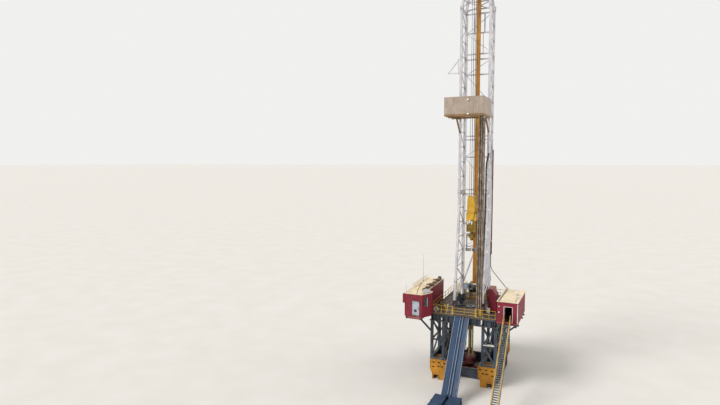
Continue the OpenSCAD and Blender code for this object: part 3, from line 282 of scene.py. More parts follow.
@dataclass(frozen=True)
class WeatheredEnamel(Finish):
    """Alkyd enamel sprayed on structural steel: satin, chalked by the sun, rusted at chips, dusty on top."""

    fresh: str
    chalked: str
    rust: float = 0.25
    grime: float = 0.4
    dust: float = 0.5
    roughness: float = 0.42
    rust_colour: str = "#5c3420"
    grime_colour: str = "#2a211c"
    dust_colour: str = "#b39b82"

    def material(self) -> bpy.types.Material:
        """Builds the paint with its chalking, run-off, chips and dust.

        Returns:
            The material.
        """
        coats = Coats(self.name, self.fresh, roughness=self.roughness)
        # Sun turns broad areas paler and duller
        coats.cover(coats.patches(420, 0.35, 0.7, detail=4), self.chalked, self.roughness + 0.15)
        # Dirty water leaves dark upright streaks
        runs = coats.joined("MULTIPLY", coats.patches(55, 0.35, 0.7, 1.0, 4, (1, 1, 0.09), 0.6),
                            coats.patches(900, 0.35, 0.6, self.grime))
        coats.cover(runs, self.grime_colour, 0.7)
        # Stones and chains chip the paint to rusty spots, matt against the satin
        edge = 0.66 - 0.1 * self.rust
        chips = coats.patches(38, edge, edge + 0.04, min(1.0, 0.35 + self.rust), 9, harshness=0.68)
        coats.cover(chips, self.rust_colour, 0.85)
        coats.cover(coats.settled(coats.patches(260, 0.3, 0.65, self.dust, 5)), self.dust_colour, 0.9)
        # Orange peel of a sprayed coat is about 2 mm across, drawn at 9 mm so that it shows
        return coats.finish(coats.joined("SUBTRACT", coats.patches(9, 0.2, 0.8, detail=2), chips), 0.6)


@dataclass(frozen=True)
class MillSteel(Finish):
    """Hot-rolled or forged steel, bare: dark mill scale rubbed bright in use, with brown flash rust."""

    scale_colour: str
    bright: str
    rust_share: float = 0.4
    rust_colour: str = "#6a4630"
    roughness: float = 0.4
    metallic: float = 0.75

    def material(self) -> bpy.types.Material:
        """Builds the steel with its scale, rubbed patches and flash rust.

        Returns:
            The material.
        """
        coats = Coats(self.name, self.scale_colour, self.metallic, self.roughness + 0.15)
        # Handling rubs bright patches along the piece
        coats.cover(coats.patches(90, 0.45, 0.62, detail=5, stretch=(1, 1, 0.25)), self.bright, self.roughness)
        edge = 0.62 - 0.25 * self.rust_share
        coats.cover(coats.patches(160, edge, edge + 0.1, 0.85, 8, harshness=0.62), self.rust_colour, 0.85)
        # Pits of mill scale are under 1 mm, drawn at 6 mm so that they show
        return coats.finish(coats.patches(6, 0.2, 0.8), 0.5)


@dataclass(frozen=True)
class DeckPlate(Finish):
    """Raised-pattern floor plate: steel walked bright on its lozenges, brown with mud and oil between them."""

    worn: str
    mud: str
    # Lozenges are about 20 mm apart on a half-size floor, drawn at 60 mm so that they show
    pitch_mm: float = 60

    def material(self) -> bpy.types.Material:
        """Builds the plate with raised lozenges, mud and wet oil.

        Returns:
            The material.
        """
        coats = Coats(self.name, self.worn, 0.45, 0.5)
        coats.cover(coats.patches(500, 0.38, 0.66, detail=6), self.mud, 0.75)
        # Spilt oil lies dark and shiny
        coats.cover(coats.patches(330, 0.55, 0.66, 0.6, 4), "#231d19", 0.25)
        lozenge = coats.joined("MULTIPLY", *(coats.ridges(self.pitch_mm, axis, 45) for axis in "XY"))
        coats.cover(coats.joined("MULTIPLY", lozenge, 0.4), "#8d8378", 0.35)
        return coats.finish(lozenge, 1.5, 0.8)


@dataclass(frozen=True)
class WireRope(Finish):
    """Greased steel wire rope: dark and oily, with its strands as slanting ridges."""

    colour: str
    # A 12 mm rope's strands slant every 14 mm, drawn at 60 mm so that they show
    lay_mm: float = 60

    def material(self) -> bpy.types.Material:
        """Builds the rope with slanting strands and grease.

        Returns:
            The material.
        """
        coats = Coats(self.name, self.colour, 0.55, 0.35)
        strands = coats.ridges(self.lay_mm, "DIAGONAL")
        coats.cover(strands, "#6b6660", 0.5)
        return coats.finish(strands, 2.0)


@dataclass(frozen=True)
class HoseRubber(Finish):
    """Extruded rubber cover of a hose or cable: matt, faintly wrapped, paler where dust has settled."""

    colour: str
    dusty: str

    def material(self) -> bpy.types.Material:
        """Builds the rubber with wrap marks and dust.

        Returns:
            The material.
        """
        coats = Coats(self.name, self.colour, roughness=0.55)
        coats.cover(coats.patches(140, 0.4, 0.75, 0.7, 4), self.dusty, 0.8)
        # The cloth wrap's marks are 25 mm apart
        return coats.finish(coats.ridges(25, "Z", unevenness=0.6), 0.6)


@dataclass(frozen=True)
class WindowGlass(Finish):
    """Laminated float glass: clear, smooth and faintly green, with a film of dust."""

    def material(self) -> bpy.types.Material:
        """Builds the glass, pale in its depth and a little dusty.

        Returns:
            The material.
        """
        coats = Coats(self.name, "#a9c2c4", roughness=0.04)
        coats.shader.inputs["IOR"].default_value = 1.52
        coats.shader.inputs["Transmission Weight"].default_value = 0.85
        coats.cover(coats.patches(300, 0.45, 0.7, 0.5, 4), "#b9ad9c", 0.35)
        return coats.finish()


@dataclass(frozen=True)
class LampLens(Finish):
    """Moulded polycarbonate lens of a floodlight: milky white and glossy, with a fine prism pattern."""

    def material(self) -> bpy.types.Material:
        """Builds the lens with its prisms.

        Returns:
            The material.
        """
        coats = Coats(self.name, "#f1eee6", roughness=0.18)
        coats.cover(coats.patches(60, 0.4, 0.7, 0.6, 2), "#dcdedd", 0.35)
        # Prisms are 2 mm wide, drawn at 10 mm so that they show
        return coats.finish(coats.ridges(10, "X"), 0.5)


@dataclass(frozen=True)
class StudioPaint:
    """Matt emulsion rolled on a studio floor: pale, even and without gloss."""

    name: str = "studio_floor"

    def material(self) -> bpy.types.Material:
        """Builds the paint with a faint unevenness.

        Returns:
            The material.
        """
        coats = Coats(self.name, "#d9d5ce", roughness=0.9)
        coats.cover(coats.patches(2500, 0.3, 0.7, detail=2), "#dedad4", 0.95)
        return coats.finish()


class Paint(Enum):
    """Every finish on the rig."""

    SLATE = WeatheredEnamel("slate_enamel", "dark_steel", "#2a333f", "#414c59", 0.5, 0.5)
    SLATE_FRAME = WeatheredEnamel("slate_frame_enamel", "grey_steel", "#313d4a", "#4a5866", 0.5, 0.5)
    GOLD = WeatheredEnamel("golden_enamel", "yellow_paint", "#c58412", "#cf9530", 0.95, 0.95,
                           rust_colour="#6b3d16", grime_colour="#3d2814")
    RAIL = WeatheredEnamel("rail_yellow_enamel", "yellow_paint", "#c59b22", "#d0b050", 0.5, 0.6)
    # Painted shade: the ramp's fresh and chalked blues are darkened to the shade the ramp lies in; the catwalk, bearers
    # and trim share them
    RAMP = WeatheredEnamel("ramp_blue_enamel_painted_shade", "ramp_blue", "#16304e", "#21456b", 0.3, 0.5,
                           rust_colour="#3c5069", dust_colour="#5f6c76", dust=0.15, roughness=0.5)
    STRIP = WeatheredEnamel("worn_strip_enamel", "ramp_blue", "#4a7099", "#6d8dac", 0.4, 0.4,
                            rust_colour="#4a3a30", roughness=0.34)
    CRIMSON = WeatheredEnamel("crimson_enamel", "red_paint", "#7e0f27", "#911f39", 0.25, 0.45)
    CREAM = WeatheredEnamel("cream_enamel", "roof_cream", "#ead6b0", "#f2e6cc", 0.3, 0.35, 0.35,
                            rust_colour="#9a7350", dust_colour="#d3b990")
    DOOR = WeatheredEnamel("door_grey_enamel", "door_grey", "#a3b0bd", "#bcc6cd", 0.2, 0.3)
    WHITE = WeatheredEnamel("box_white_enamel", "roof_cream", "#e2ded8", "#efece6", 0.2, 0.4, 0.3,
                            rust_colour="#9a7350", dust_colour="#cdbfae")
    MAST = WeatheredEnamel("mast_white_enamel", "mast_grey", "#c5c5d0", "#dcd8d6", 0.35, 0.4,
                           rust_colour="#8a6650", grime_colour="#5d5350")
    SHOE = WeatheredEnamel("plum_enamel", "shoe_purple", "#3e2638", "#55404f", 0.4, 0.5)
    BOARD = WeatheredEnamel("board_brown_enamel", "board_tan", "#8a683c", "#9d7e50", 0.5, 0.5)
    SCREEN = WeatheredEnamel("wind_screen_enamel", "board_tan", "#a99888", "#b8a797", 0.2, 0.4)
    OCHRE = WeatheredEnamel("guide_ochre_enamel", "yellow_paint", "#b97714", "#c98d2e", 0.6, 0.7,
                            rust_colour="#54310f")
    HOIST = WeatheredEnamel("hoist_yellow_enamel", "yellow_paint", "#93700f", "#a5842a", 0.6, 0.9,
                            rust_colour="#43300f", grime_colour="#2b1f0c")
    MAROON = WeatheredEnamel("maroon_enamel", "maroon_paint", "#5a1c20", "#74363a", 0.6, 0.6)
    OLIVE = WeatheredEnamel("olive_enamel", "olive_paint", "#7d7238", "#94894e", 0.6, 0.5)
    OXIDE = WeatheredEnamel("red_oxide_primer", "maroon_paint", "#8a4527", "#a15a38", 0.8, 0.4, roughness=0.6)
    BROWN = WeatheredEnamel("brown_tarpaulin_paint", "board_tan", "#4a3626", "#6b5038", 0.6, 0.6, roughness=0.6)
    STEEL = MillSteel("forged_steel", "bare_steel", "#6d6f72", "#b0b1b0", 0.35)
    BLOCK = WeatheredEnamel("block_yellow_enamel", "yellow_paint", "#d3a010", "#ddb53c", 0.35, 0.6,
                            rust_colour="#5a3b12", grime_colour="#4a3712")
    PIPE = MillSteel("drill_pipe_steel", "pipe_steel", "#75675b", "#a99a8b", 0.3, "#7d604a", 0.5, 0.35)
    GRATING = MillSteel("galvanised_grating", "bare_steel", "#7c8288", "#a8aeb2", 0.2)
    DECK = DeckPlate("raised_deck_plate", "deck_plate", "#5b4f48", "#45382f")
    ROPE = WireRope("wire_rope", "wire_rope", "#2c2a28")
    BLACK_HOSE = HoseRubber("black_hose_rubber", "cable_black", "#151517", "#4b443d")
    RED_HOSE = HoseRubber("red_hose_rubber", "hose_red", "#6a1c16", "#8a4a3a")
    GLASS = WindowGlass("laminated_glass", "window_glass")
    LENS = LampLens("floodlight_lens", "roof_cream")


@cache
def material_of(paint: Paint) -> bpy.types.Material:
    """Returns the material of a finish, built when it is first asked for."""
    return paint.value.material()


def finish_nodes(paint: Paint, *names: str) -> None:
    """Gives frame nodes a finish.

    Args:
        paint: the finish.
        names: nodes of the frame.
    """
    for name in names:
        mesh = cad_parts[name].data
        mesh.materials.clear()
        mesh.materials.append(material_of(paint))


# Shapes


def circle(centre: Place, axis: Vector, radius: float, count: int) -> list[Vector]:
    """Gives points on a circle.

    Args:
        centre: its middle.
        axis: direction square to it.
        radius: its radius.
        count: number of points.

    Returns:
        The points in order.
    """
    across = axis.orthogonal().normalized()
    other = axis.normalized().cross(across)
    turns = [2 * math.pi * k / count for k in range(count)]
    return [Vector(centre) + (across * math.cos(t) + other * math.sin(t)) * radius for t in turns]


def steps(start: float, end: float, count: int) -> list[float]:
    """Gives the values that part a length into that many even gaps, both ends included."""
    return [start + (end - start) * i / count for i in range(count + 1)]


class Shape:
    """Collects the faces of one piece before they become a mesh."""

    def __init__(self, x: float = 0.0, y: float = 0.0, z: float = 0.0) -> None:
        """Starts with no faces, at an origin that all later places are measured from.

        Args:
            x: the origin's place on X, from the well centre.
            y: its place on Y.
            z: its height above the ground.
        """
        self.origin = Vector((x, y, z))
        self.points: list[Vector] = []
        self.faces: list[list[int]] = []

    def prism(self, outline: Sequence[Place], sweep: Place) -> "Shape":
        """Adds an outline swept along a vector.

        Args:
            outline: corners in order.
            sweep: vector from the first end to the other.

        Returns:
            This shape.
        """
        count, first, move = len(outline), len(self.points), Vector(sweep)
        base = [Vector(p) for p in outline]
        self.points += base + [p + move for p in base]
        self.faces.append([first + i for i in reversed(range(count))])
        self.faces.append([first + count + i for i in range(count)])
        for i in range(count):
            j = (i + 1) % count
            self.faces.append([first + i, first + j, first + count + j, first + count + i])
        return self

    def box(self, low: Place, high: Place) -> "Shape":
        """Adds a block between two corners."""
        (x0, y0, z0), (x1, y1, z1) = low, high
        return self.prism([(x0, y0, z0), (x1, y0, z0), (x1, y1, z0), (x0, y1, z0)], (0, 0, z1 - z0))

    def block(self, centre: Place, size: Place) -> "Shape":
        """Adds a block by its middle and its size."""
        c, h = Vector(centre), Vector(size) / 2
        return self.box(c - h, c + h)

    def row(self, axis: int, places: Sequence[float], low: Place, high: Place) -> "Shape":
        """Adds the same block at many places along one axis.

        Args:
            axis: 0, 1 or 2 for X, Y or Z.
            places: where the block's own zero on that axis comes.
            low: its lowest corner.
            high: its highest corner.

        Returns:
            This shape.
        """
        for place in places:
            self.box(*([v + place * (i == axis) for i, v in enumerate(corner)] for corner in (low, high)))
        return self

    def bar(self, start: Place, end: Place, width: float, depth: float | None = None, side: Vector = UP) -> "Shape":
        """Adds a straight bar of rectangular section.

        Args:
            start: middle of one end.
            end: middle of the other.
            width: size across, square to side.
            depth: size along side, or None for a square bar.
            side: direction that the depth is nearest to.

        Returns:
            This shape.
        """
        a, b = Vector(start), Vector(end)
        along = (b - a).normalized()
        if abs(along.dot(side)) > 0.98:
            side = X_AXIS if abs(along.x) < 0.9 else Y_AXIS
        across = along.cross(side).normalized()
        w, d = across * width / 2, across.cross(along) * (depth or width) / 2
        return self.prism([a - w - d, a + w - d, a + w + d, a - w + d], b - a)

    def skin(self, rings: Sequence[Sequence[Vector]], closed: bool = False) -> "Shape":
        """Adds the surface through a row of rings of points.

        Args:
            rings: rings with the same count of points.
            closed: whether the last ring joins the first, as in a hoop; the ends are capped otherwise.

        Returns:
            This shape.
        """
        first, sides, count = len(self.points), len(rings[0]), len(rings)
        self.points += [p for ring in rings for p in ring]
        for i in range(count if closed else count - 1):
            here, there = first + i * sides, first + (i + 1) % count * sides
            for k in range(sides):
                m = (k + 1) % sides
                self.faces.append([here + k, here + m, there + m, there + k])
        if not closed:
            self.faces.append([first + k for k in reversed(range(sides))])
            self.faces.append([first + (count - 1) * sides + k for k in range(sides)])
        return self

    def tube(self, path: Sequence[Place], radius: float, sides: int = 8, closed: bool = False) -> "Shape":
        """Adds a round tube along a path.

        Args:
            path: points of its centreline.
            radius: outer radius.
            sides: faces around it.
            closed: whether the path is a hoop.

        Returns:
            This shape.
        """
        line = [Vector(p) for p in path]
        last = len(line) - 1
        across = (line[1] - line[0]).orthogonal().normalized()
        rings = []
        for i, point in enumerate(line):
            after = line[(i + 1) % len(line)] if closed else line[min(i + 1, last)]
            before = line[i - 1] if closed else line[max(i - 1, 0)]
            heading = (after - before).normalized()
            across = (across - heading * across.dot(heading)).normalized()
            other = heading.cross(across)
            turns = [2 * math.pi * k / sides for k in range(sides)]
            rings.append([point + (across * math.cos(t) + other * math.sin(t)) * radius for t in turns])
        return self.skin(rings, closed)

    def rod(self, start: Place, end: Place, radius: float, sides: int = 12) -> "Shape":
        """Adds a round rod between two points."""
        return self.tube([start, end], radius, sides)

    def hoop(self, centre: Place, axis: Vector, radius: float, thickness: float, count: int = 20,
             sides: int = 6) -> "Shape":
        """Adds a ring of round bar, of that radius, thickness and number of steps, square to an axis."""
        return self.tube(circle(centre, axis, radius, count), thickness, sides, closed=True)

    def turned(self, profile: Profile, base: Place = (0, 0, 0), axis: Vector = UP, sides: int = 24) -> "Shape":
        """Adds a turned part, from a profile of radii and their distances from the base along the axis."""
        return self.skin([circle(Vector(base) + axis * rise, axis, radius, sides) for radius, rise in profile])

    def bolts(self, places: Sequence[Place], axis: Vector, size: float = 0.024) -> "Shape":
        """Adds hexagon bolt heads that stand on a face.

        Args:
            places: points on the face.
            axis: direction out of the face.
            size: width over a head's corners.

        Returns:
            This shape.
        """
        for place in places:
            self.turned([(size / 2, 0), (size / 2, size * 0.3), (size * 0.42, size * 0.38)],
                        Vector(place) - axis * 0.002, axis, 6)
        return self

    def louvres(self, low: Place, high: Place, count: int, out: Vector, depth: float = 0.02) -> "Shape":
        """Adds sloping slats on an upright face.

        Args:
            low: lowest corner of the field on the face.
            high: its highest corner.
            count: number of slats.
            out: direction out of the face, along X or Y.
            depth: how far a slat stands out.

        Returns:
            This shape.
        """
        a, b = Vector(low), Vector(high)
        pitch = (b.z - a.z) / count
        for i in range(count):
            foot = Vector((a.x, a.y, a.z + i * pitch))
            self.prism([foot, foot + UP * pitch * 0.25, foot + UP * pitch * 0.9 + out * 0.002,
                        foot + out * depth + UP * pitch * 0.15], (b.x - a.x, b.y - a.y, 0))
        return self

    def mirrored(self) -> "Shape":
        """Adds the left-hand copy of all that is drawn so far.

        Returns:
            This shape.
        """
        first = len(self.points)
        self.points += [Vector((-p.x, p.y, p.z)) for p in self.points]
        self.faces += [[first + i for i in reversed(face)] for face in list(self.faces)]
        return self

    def make(self, name: str, paint: Paint, body: str | None = "rig", bevel: float = 0.0,
             smooth: float | None = None) -> bpy.types.Object:
        """Turns the collected faces into a piece of the scene.

        Args:
            name: the piece's name.
            paint: its finish.
            body: frame body that it rides on, or None for a piece that is stretched between two.
            bevel: width of the bevel on its edges, or 0 for none.
            smooth: angle in degrees under which edges are shaded smooth, or None for flat.

        Returns:
            The new object.
        """
        mesh = bpy.data.meshes.new(name)
        mesh.from_pydata([p + self.origin + WELL for p in self.points], [], self.faces)
        work = bmesh.new()
        work.from_mesh(mesh)
        bmesh.ops.recalc_face_normals(work, faces=work.faces)
        if bevel:
            sharp = [e for e in work.edges if e.calc_face_angle(0) > math.radians(40)]
            bmesh.ops.bevel(work, geom=sharp, offset=bevel, segments=1, affect="EDGES", clamp_overlap=True)
        work.to_mesh(mesh)
        work.free()
        if smooth is not None:
            mesh.shade_smooth()
            mesh.set_sharp_from_angle(angle=math.radians(smooth))
        mesh.materials.append(material_of(paint))
        made = add_object(name, mesh)
        if body:
            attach(made, body)
        log.info("%s: %d faces", name, len(mesh.polygons))
        return made


@dataclass(frozen=True)
class Plan:
    """Places that several sub-assemblies share, read from the frame."""

    post: float = 0.17
    brace: float = 0.09
    chord: float = 0.15
    foot_front: float = -0.65
    lean_top: float = 11.0
    floor: float = part("drill_floor", 1, 2)
    floor_front: float = part("drill_floor", 0, 1)
    floor_back: float = part("drill_floor", 1, 1)
    floor_half: float = part("drill_floor", 1, 0)
    beam_bottom: float = part("floor_beams", 0, 2)
    pod_top: float = part("walking_pods", 1, 2)
    inner_post: float = part("box_trusses_right", 0, 0) + post / 2
    outer_post: float = part("box_trusses_right", 1, 0) - post / 2
    truss_front: float = part("box_trusses_right", 0, 1) + post / 2
    truss_back: float = part("box_trusses_right", 1, 1) - post / 2
    mast_half: float = part("mast_upper_right", 1, 0) - chord / 2
    mast_front: float = part("mast_upper_right", 0, 1) + chord / 2
    mast_back: float = part("mast_upper_right", 1, 1) - chord / 2
    leg_foot: float = part("mast_lower_right", 0, 2)
    lower_top: float = part("mast_lower_right", 1, 2)
    upper_top: float = part("mast_upper_right", 1, 2)
    crown: float = part("crown_section", 1, 2)
    board_top: float = part("racking_board", 1, 2)

    def front_chord(self, z: float) -> float:
        """Gives how far behind the well centre the front chord is.

        Args:
            z: height above the ground.

        Returns:
            The chord's Y there, which leans forward below lean_top.
        """
        if z >= self.lean_top:
            return self.mast_front
        share = (z - self.leg_foot) / (self.lean_top - self.leg_foot)
        return self.foot_front + (self.mast_front - self.foot_front) * share


PLAN = Plan()


class Assembly:
    """Sub-assembly of the rig: the finishes of its nodes, and the make methods that build its own pieces."""

    finishes: dict[Paint, str] = {}

    def build(self) -> None:
        """Gives the frame's nodes their finish, then runs the make methods in the order they stand."""
        for paint, names in self.finishes.items():
            finish_nodes(paint, *names.split())
        for name, work in vars(type(self)).items():
            if name.startswith("make_"):
                work(self)


@dataclass
class CabinCable(Assembly):
    """Cable that hangs from the clamp on the mast's right leg to the gland on the right cabin's roof."""

    finishes = {Paint.BLACK_HOSE: "cabin_cable"}
    radius: float = 0.022
    length: float = 3.44
    between: int = 3
    route: tuple[Place, ...] = (
        (1.070, 1.170, 8.900), (1.070, 1.170, 7.500), (1.085, 1.160, 7.280), (1.135, 1.135, 7.110),
        (1.215, 1.095, 6.960), (1.325, 1.035, 6.835), (1.620, 0.880, 6.550), (1.910, 0.730, 6.275),
        (2.200, 0.575, 6.005))

    def path(self) -> list[Vector]:
        """Sets other points between those of the route, on a smooth curve through all.

        Returns:
            The points from the clamp to the gland.
        """
        marks = [Vector(p) for p in self.route]
        # The upright stretch is divided first, so that the curve doesn't swing out at its end
        marks[1:1] = [marks[0].lerp(marks[1], share) for share in (0.33, 0.66)]
        marks = [marks[0] * 2 - marks[1], *marks, marks[-1] * 2 - marks[-2]]
        points = []
        for a, b, c, d in zip(marks, marks[1:], marks[2:], marks[3:]):
            for share in (i / self.between for i in range(self.between)):
                points.append(0.5 * (2 * b + (c - a) * share + (2 * a - 5 * b + 4 * c - d) * share ** 2
                                     + (3 * b - a - 3 * c + d) * share ** 3))
        return [*points, marks[-2]]

    def make_cable(self) -> None:
        curve = bpy.data.curves.new("cabin_cable_hung", "CURVE")
        curve.dimensions = "3D"
        curve.bevel_depth = self.radius
        curve.bevel_resolution = 3
        points = self.path()
        line = curve.splines.new("BEZIER")
        line.resolution_u = 3
        line.bezier_points.add(len(points) - 1)
        for point, place in zip(line.bezier_points, points):
            point.co = place + WELL
            point.handle_left_type = point.handle_right_type = "AUTO"
        curve.materials.append(material_of(Paint.BLACK_HOSE))
        made = add_object("cabin_cable_hung", curve)
        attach(made, "rig")
        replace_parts(made, "cabin_cable")


@dataclass
class Substructure(Assembly):
    """Side boxes, girders and floor beams under the drill floor."""

    finishes = {
        Paint.SLATE: "base_skid_left base_skid_right spreader_beams floor_beams doghouse_supports "
                     "cabin_supports",
        Paint.SLATE_FRAME: "box_trusses_left box_trusses_right end_frames"}
    bays: int = 3
    gusset: float = 0.3
    bolt: float = 0.026
    plate: float = 0.014
    lug: float = 0.02
    # What is left between the beams' outer edge and their web
    recess: float = 0.095
    flange: float = 0.045
    header: float = 0.48
    pin: Profile = ((0.045, 0), (0.045, 0.01), (0.032, 0.011), (0.032, 0.04))
    beam_marks: tuple[float, ...] = (0.185, 0.555, 0.925, 1.5, 1.82)

    def make_gussets(self) -> None:
        """Makes the gusset plates where the bars of each truss meet, with their bolts."""
        plates, half, thin = Shape(), self.gusset / 2, PLAN.brace / 2
        levels = (((PLAN.pod_top + PLAN.beam_bottom) / 2, 0), (PLAN.pod_top + PLAN.post, 1),
                  (PLAN.beam_bottom - PLAN.post, -1))
        rows = enumerate(steps(PLAN.truss_front, PLAN.truss_back, self.bays))
        for (i, y), x, (z, rise), way in product(rows, (PLAN.inner_post, PLAN.outer_post), levels, BOTH):
            if i == (0 if way < 0 else self.bays):
                continue
            up, down = (half if rise >= 0 else 0.02), (half if rise <= 0 else 0.02)
            edge = y + way * PLAN.post / 2
            tip = edge + way * half
            outline = [(edge, z - down), (tip, z - min(down, 0.06)), (tip, z + min(up, 0.06)), (edge, z + up)]
            marks = [(edge + way * s, z + rise * 0.03) for s in (0.04, 0.1)]
            marks += [(edge + way * 0.04, z + s * 0.1) for s in BOTH if s * rise >= 0]
            for face in BOTH:
                plates.prism([(x + face * thin, *spot) for spot in outline], (face * self.plate, 0, 0))
                plates.bolts([(x + face * (thin + self.plate), *spot) for spot in marks], X_AXIS * face, self.bolt)
        plates.mirrored().make("box_gussets", Paint.SLATE_FRAME)

    def make_pins(self) -> None:
        """Makes the lugs and pins that hold each post to its pod or girder."""
        lugs, z = Shape(), PLAN.pod_top + 0.09
        rows = steps(PLAN.truss_front, PLAN.truss_back, self.bays)
        for x, y, face in product((PLAN.inner_post, PLAN.outer_post), rows, BOTH):
            at = x + face * PLAN.post / 2
            lugs.prism([(at, y - 0.09, z - 0.088), (at, y + 0.09, z - 0.088), (at, y + 0.06, z + 0.09),
                        (at, y - 0.06, z + 0.09)], (face * self.lug, 0, 0))
            # No pin goes where the pods end flush with the floor
            if abs(at) < PLAN.floor_half - 0.001:
                lugs.turned(self.pin, (at + face * self.lug, y, z), X_AXIS * face, 12)
        lugs.mirrored().make("box_pins", Paint.STEEL, smooth=40)

    def make_stiffeners(self) -> None:
        """Makes the upright plates between the flanges of the floor's edge beams and the ground girders."""
        plates, half, edge, floor = Shape(), self.plate / 2, 0.006, PLAN.floor_half
        low, high = PLAN.beam_bottom + self.flange, PLAN.beam_bottom + self.header - self.flange
        plates.row(1, steps(PLAN.floor_front + 0.35, PLAN.floor_back - 0.35, 10),
                   (floor - self.recess, -half, low), (floor - edge, half, high))
        for y0, y1 in ((PLAN.floor_front + edge, PLAN.floor_front + self.recess),
                       (PLAN.floor_back - self.recess, PLAN.floor_back - edge)):
            plates.row(0, self.beam_marks, (-half, y0, low), (half, y1, high))
        rows = steps(part("base_skid_right", 0, 1) + 0.01, part("base_skid_right", 1, 1) - 0.01, 5)
        for x0, x1 in ((PLAN.outer_post + 0.0125, floor - 0.004), (PLAN.inner_post - 0.081, PLAN.inner_post - 0.0125)):
            plates.row(1, rows, (x0, -0.01, 0.04), (x1, 0.01, PLAN.pod_top - 0.04))
        plates.mirrored().make("beam_stiffeners", Paint.SLATE)

    def make_cross_pieces(self) -> None:
        """Makes the primed bar and the pale tray that cross the right box's front."""
        y, a, b = PLAN.truss_front, PLAN.inner_post + PLAN.post / 2, PLAN.outer_post - PLAN.post / 2
        Shape().bar((a, y, 4.0), (b, y, 4.0), 0.05, 0.08).make("primed_cross_bar", Paint.OXIDE, bevel=0.004)
        tray = Shape().box((a - 0.06, y - 0.09, 2.72), (b + 0.04, y + 0.09, 2.735))
        tray.row(1, (y - 0.09, y + 0.084), (a - 0.06, 0, 2.72), (b + 0.04, 0.006, 2.79))
        tray.make("pale_drip_tray", Paint.WHITE)


@dataclass
class WalkingPods(Assembly):
    """Golden steel housings of the walking feet. Their outline and hand holes are shares of their size."""

    finishes = {Paint.GOLD: "walking_pods", Paint.STEEL: "walking_feet"}
    left: float = 1.01
    width: float = 1.15
    hole_half: float = 0.095
    hole_r: float = 0.045
    rim: float = 0.009
    hand_holes: Profile = ((0.14, 0.84), (0.46, 0.85), (0.78, 0.84), (0.29, 0.66), (0.5, 0.66), (0.8, 0.61))
    bolt_marks: tuple[float, ...] = (0.07, 0.18, 0.4, 0.5, 0.72, 0.83, 0.94)
    outline: Profile = (
        (0, 1), (0, 0.5), (0.15, 0.25), (0.15, 0), (0.5, 0), (0.5, 0.22), (0.8, 0.22), (0.8, 0), (0.85, 0),
        (0.85, 0.25), (1, 0.5), (1, 1), (0, 1))

    def spot(self, across: float, up: float, y: float) -> Vector:
        """Turns shares of a pod's width and height into a place on its end."""
        return Vector((self.left + across * self.width, y, up * PLAN.pod_top))

    def make_trim(self) -> None:
        """Makes the rims of the hand holes, the edge bars, the ribs and the lifting eyes of all pods."""
        trim, straight = Shape(), self.hole_half - self.hole_r
        for y, out in ((PLAN.truss_front - PLAN.post / 2, -1), (PLAN.truss_back + PLAN.post / 2, 1)):
            for centre in (self.spot(*shares, y) for shares in self.hand_holes):
                trim.tube([p + X_AXIS * math.copysign(straight, p.x - centre.x)
                           for p in circle(centre, Y_AXIS, self.hole_r, 20)], self.rim, 6, closed=True)
            # The bars keep a little inside the edges, so that none stands out of the pod's own box
            edge = [self.spot(min(max(s, 0.012), 0.988), min(max(t, 0.004), 0.99), y + out * 0.004)
                    for s, t in self.outline]
            for a, b in zip(edge, edge[1:]):
                trim.bar(a, b, 0.008, 0.028, side=X_AXIS)
            for across in (0.3, 0.62):
                trim.hoop(self.spot(across, 0.94, y) + Y_AXIS * out * 0.03, X_AXIS, 0.03, 0.01)
            trim.bolts([self.spot(s, 0.955, y) for s in self.bolt_marks], Y_AXIS * out, 0.026)
        side = self.left + self.width
        ribs = steps(PLAN.truss_front + 0.1, PLAN.truss_front + 0.75, 3)
        ribs += steps(PLAN.truss_back - 0.75, PLAN.truss_back - 0.1, 3)
        trim.row(1, ribs, (side - 0.001, -0.01, 0.7), (side + 0.02, 0.01, 1.33))
        trim.mirrored().make("pod_trim", Paint.GOLD, smooth=40)


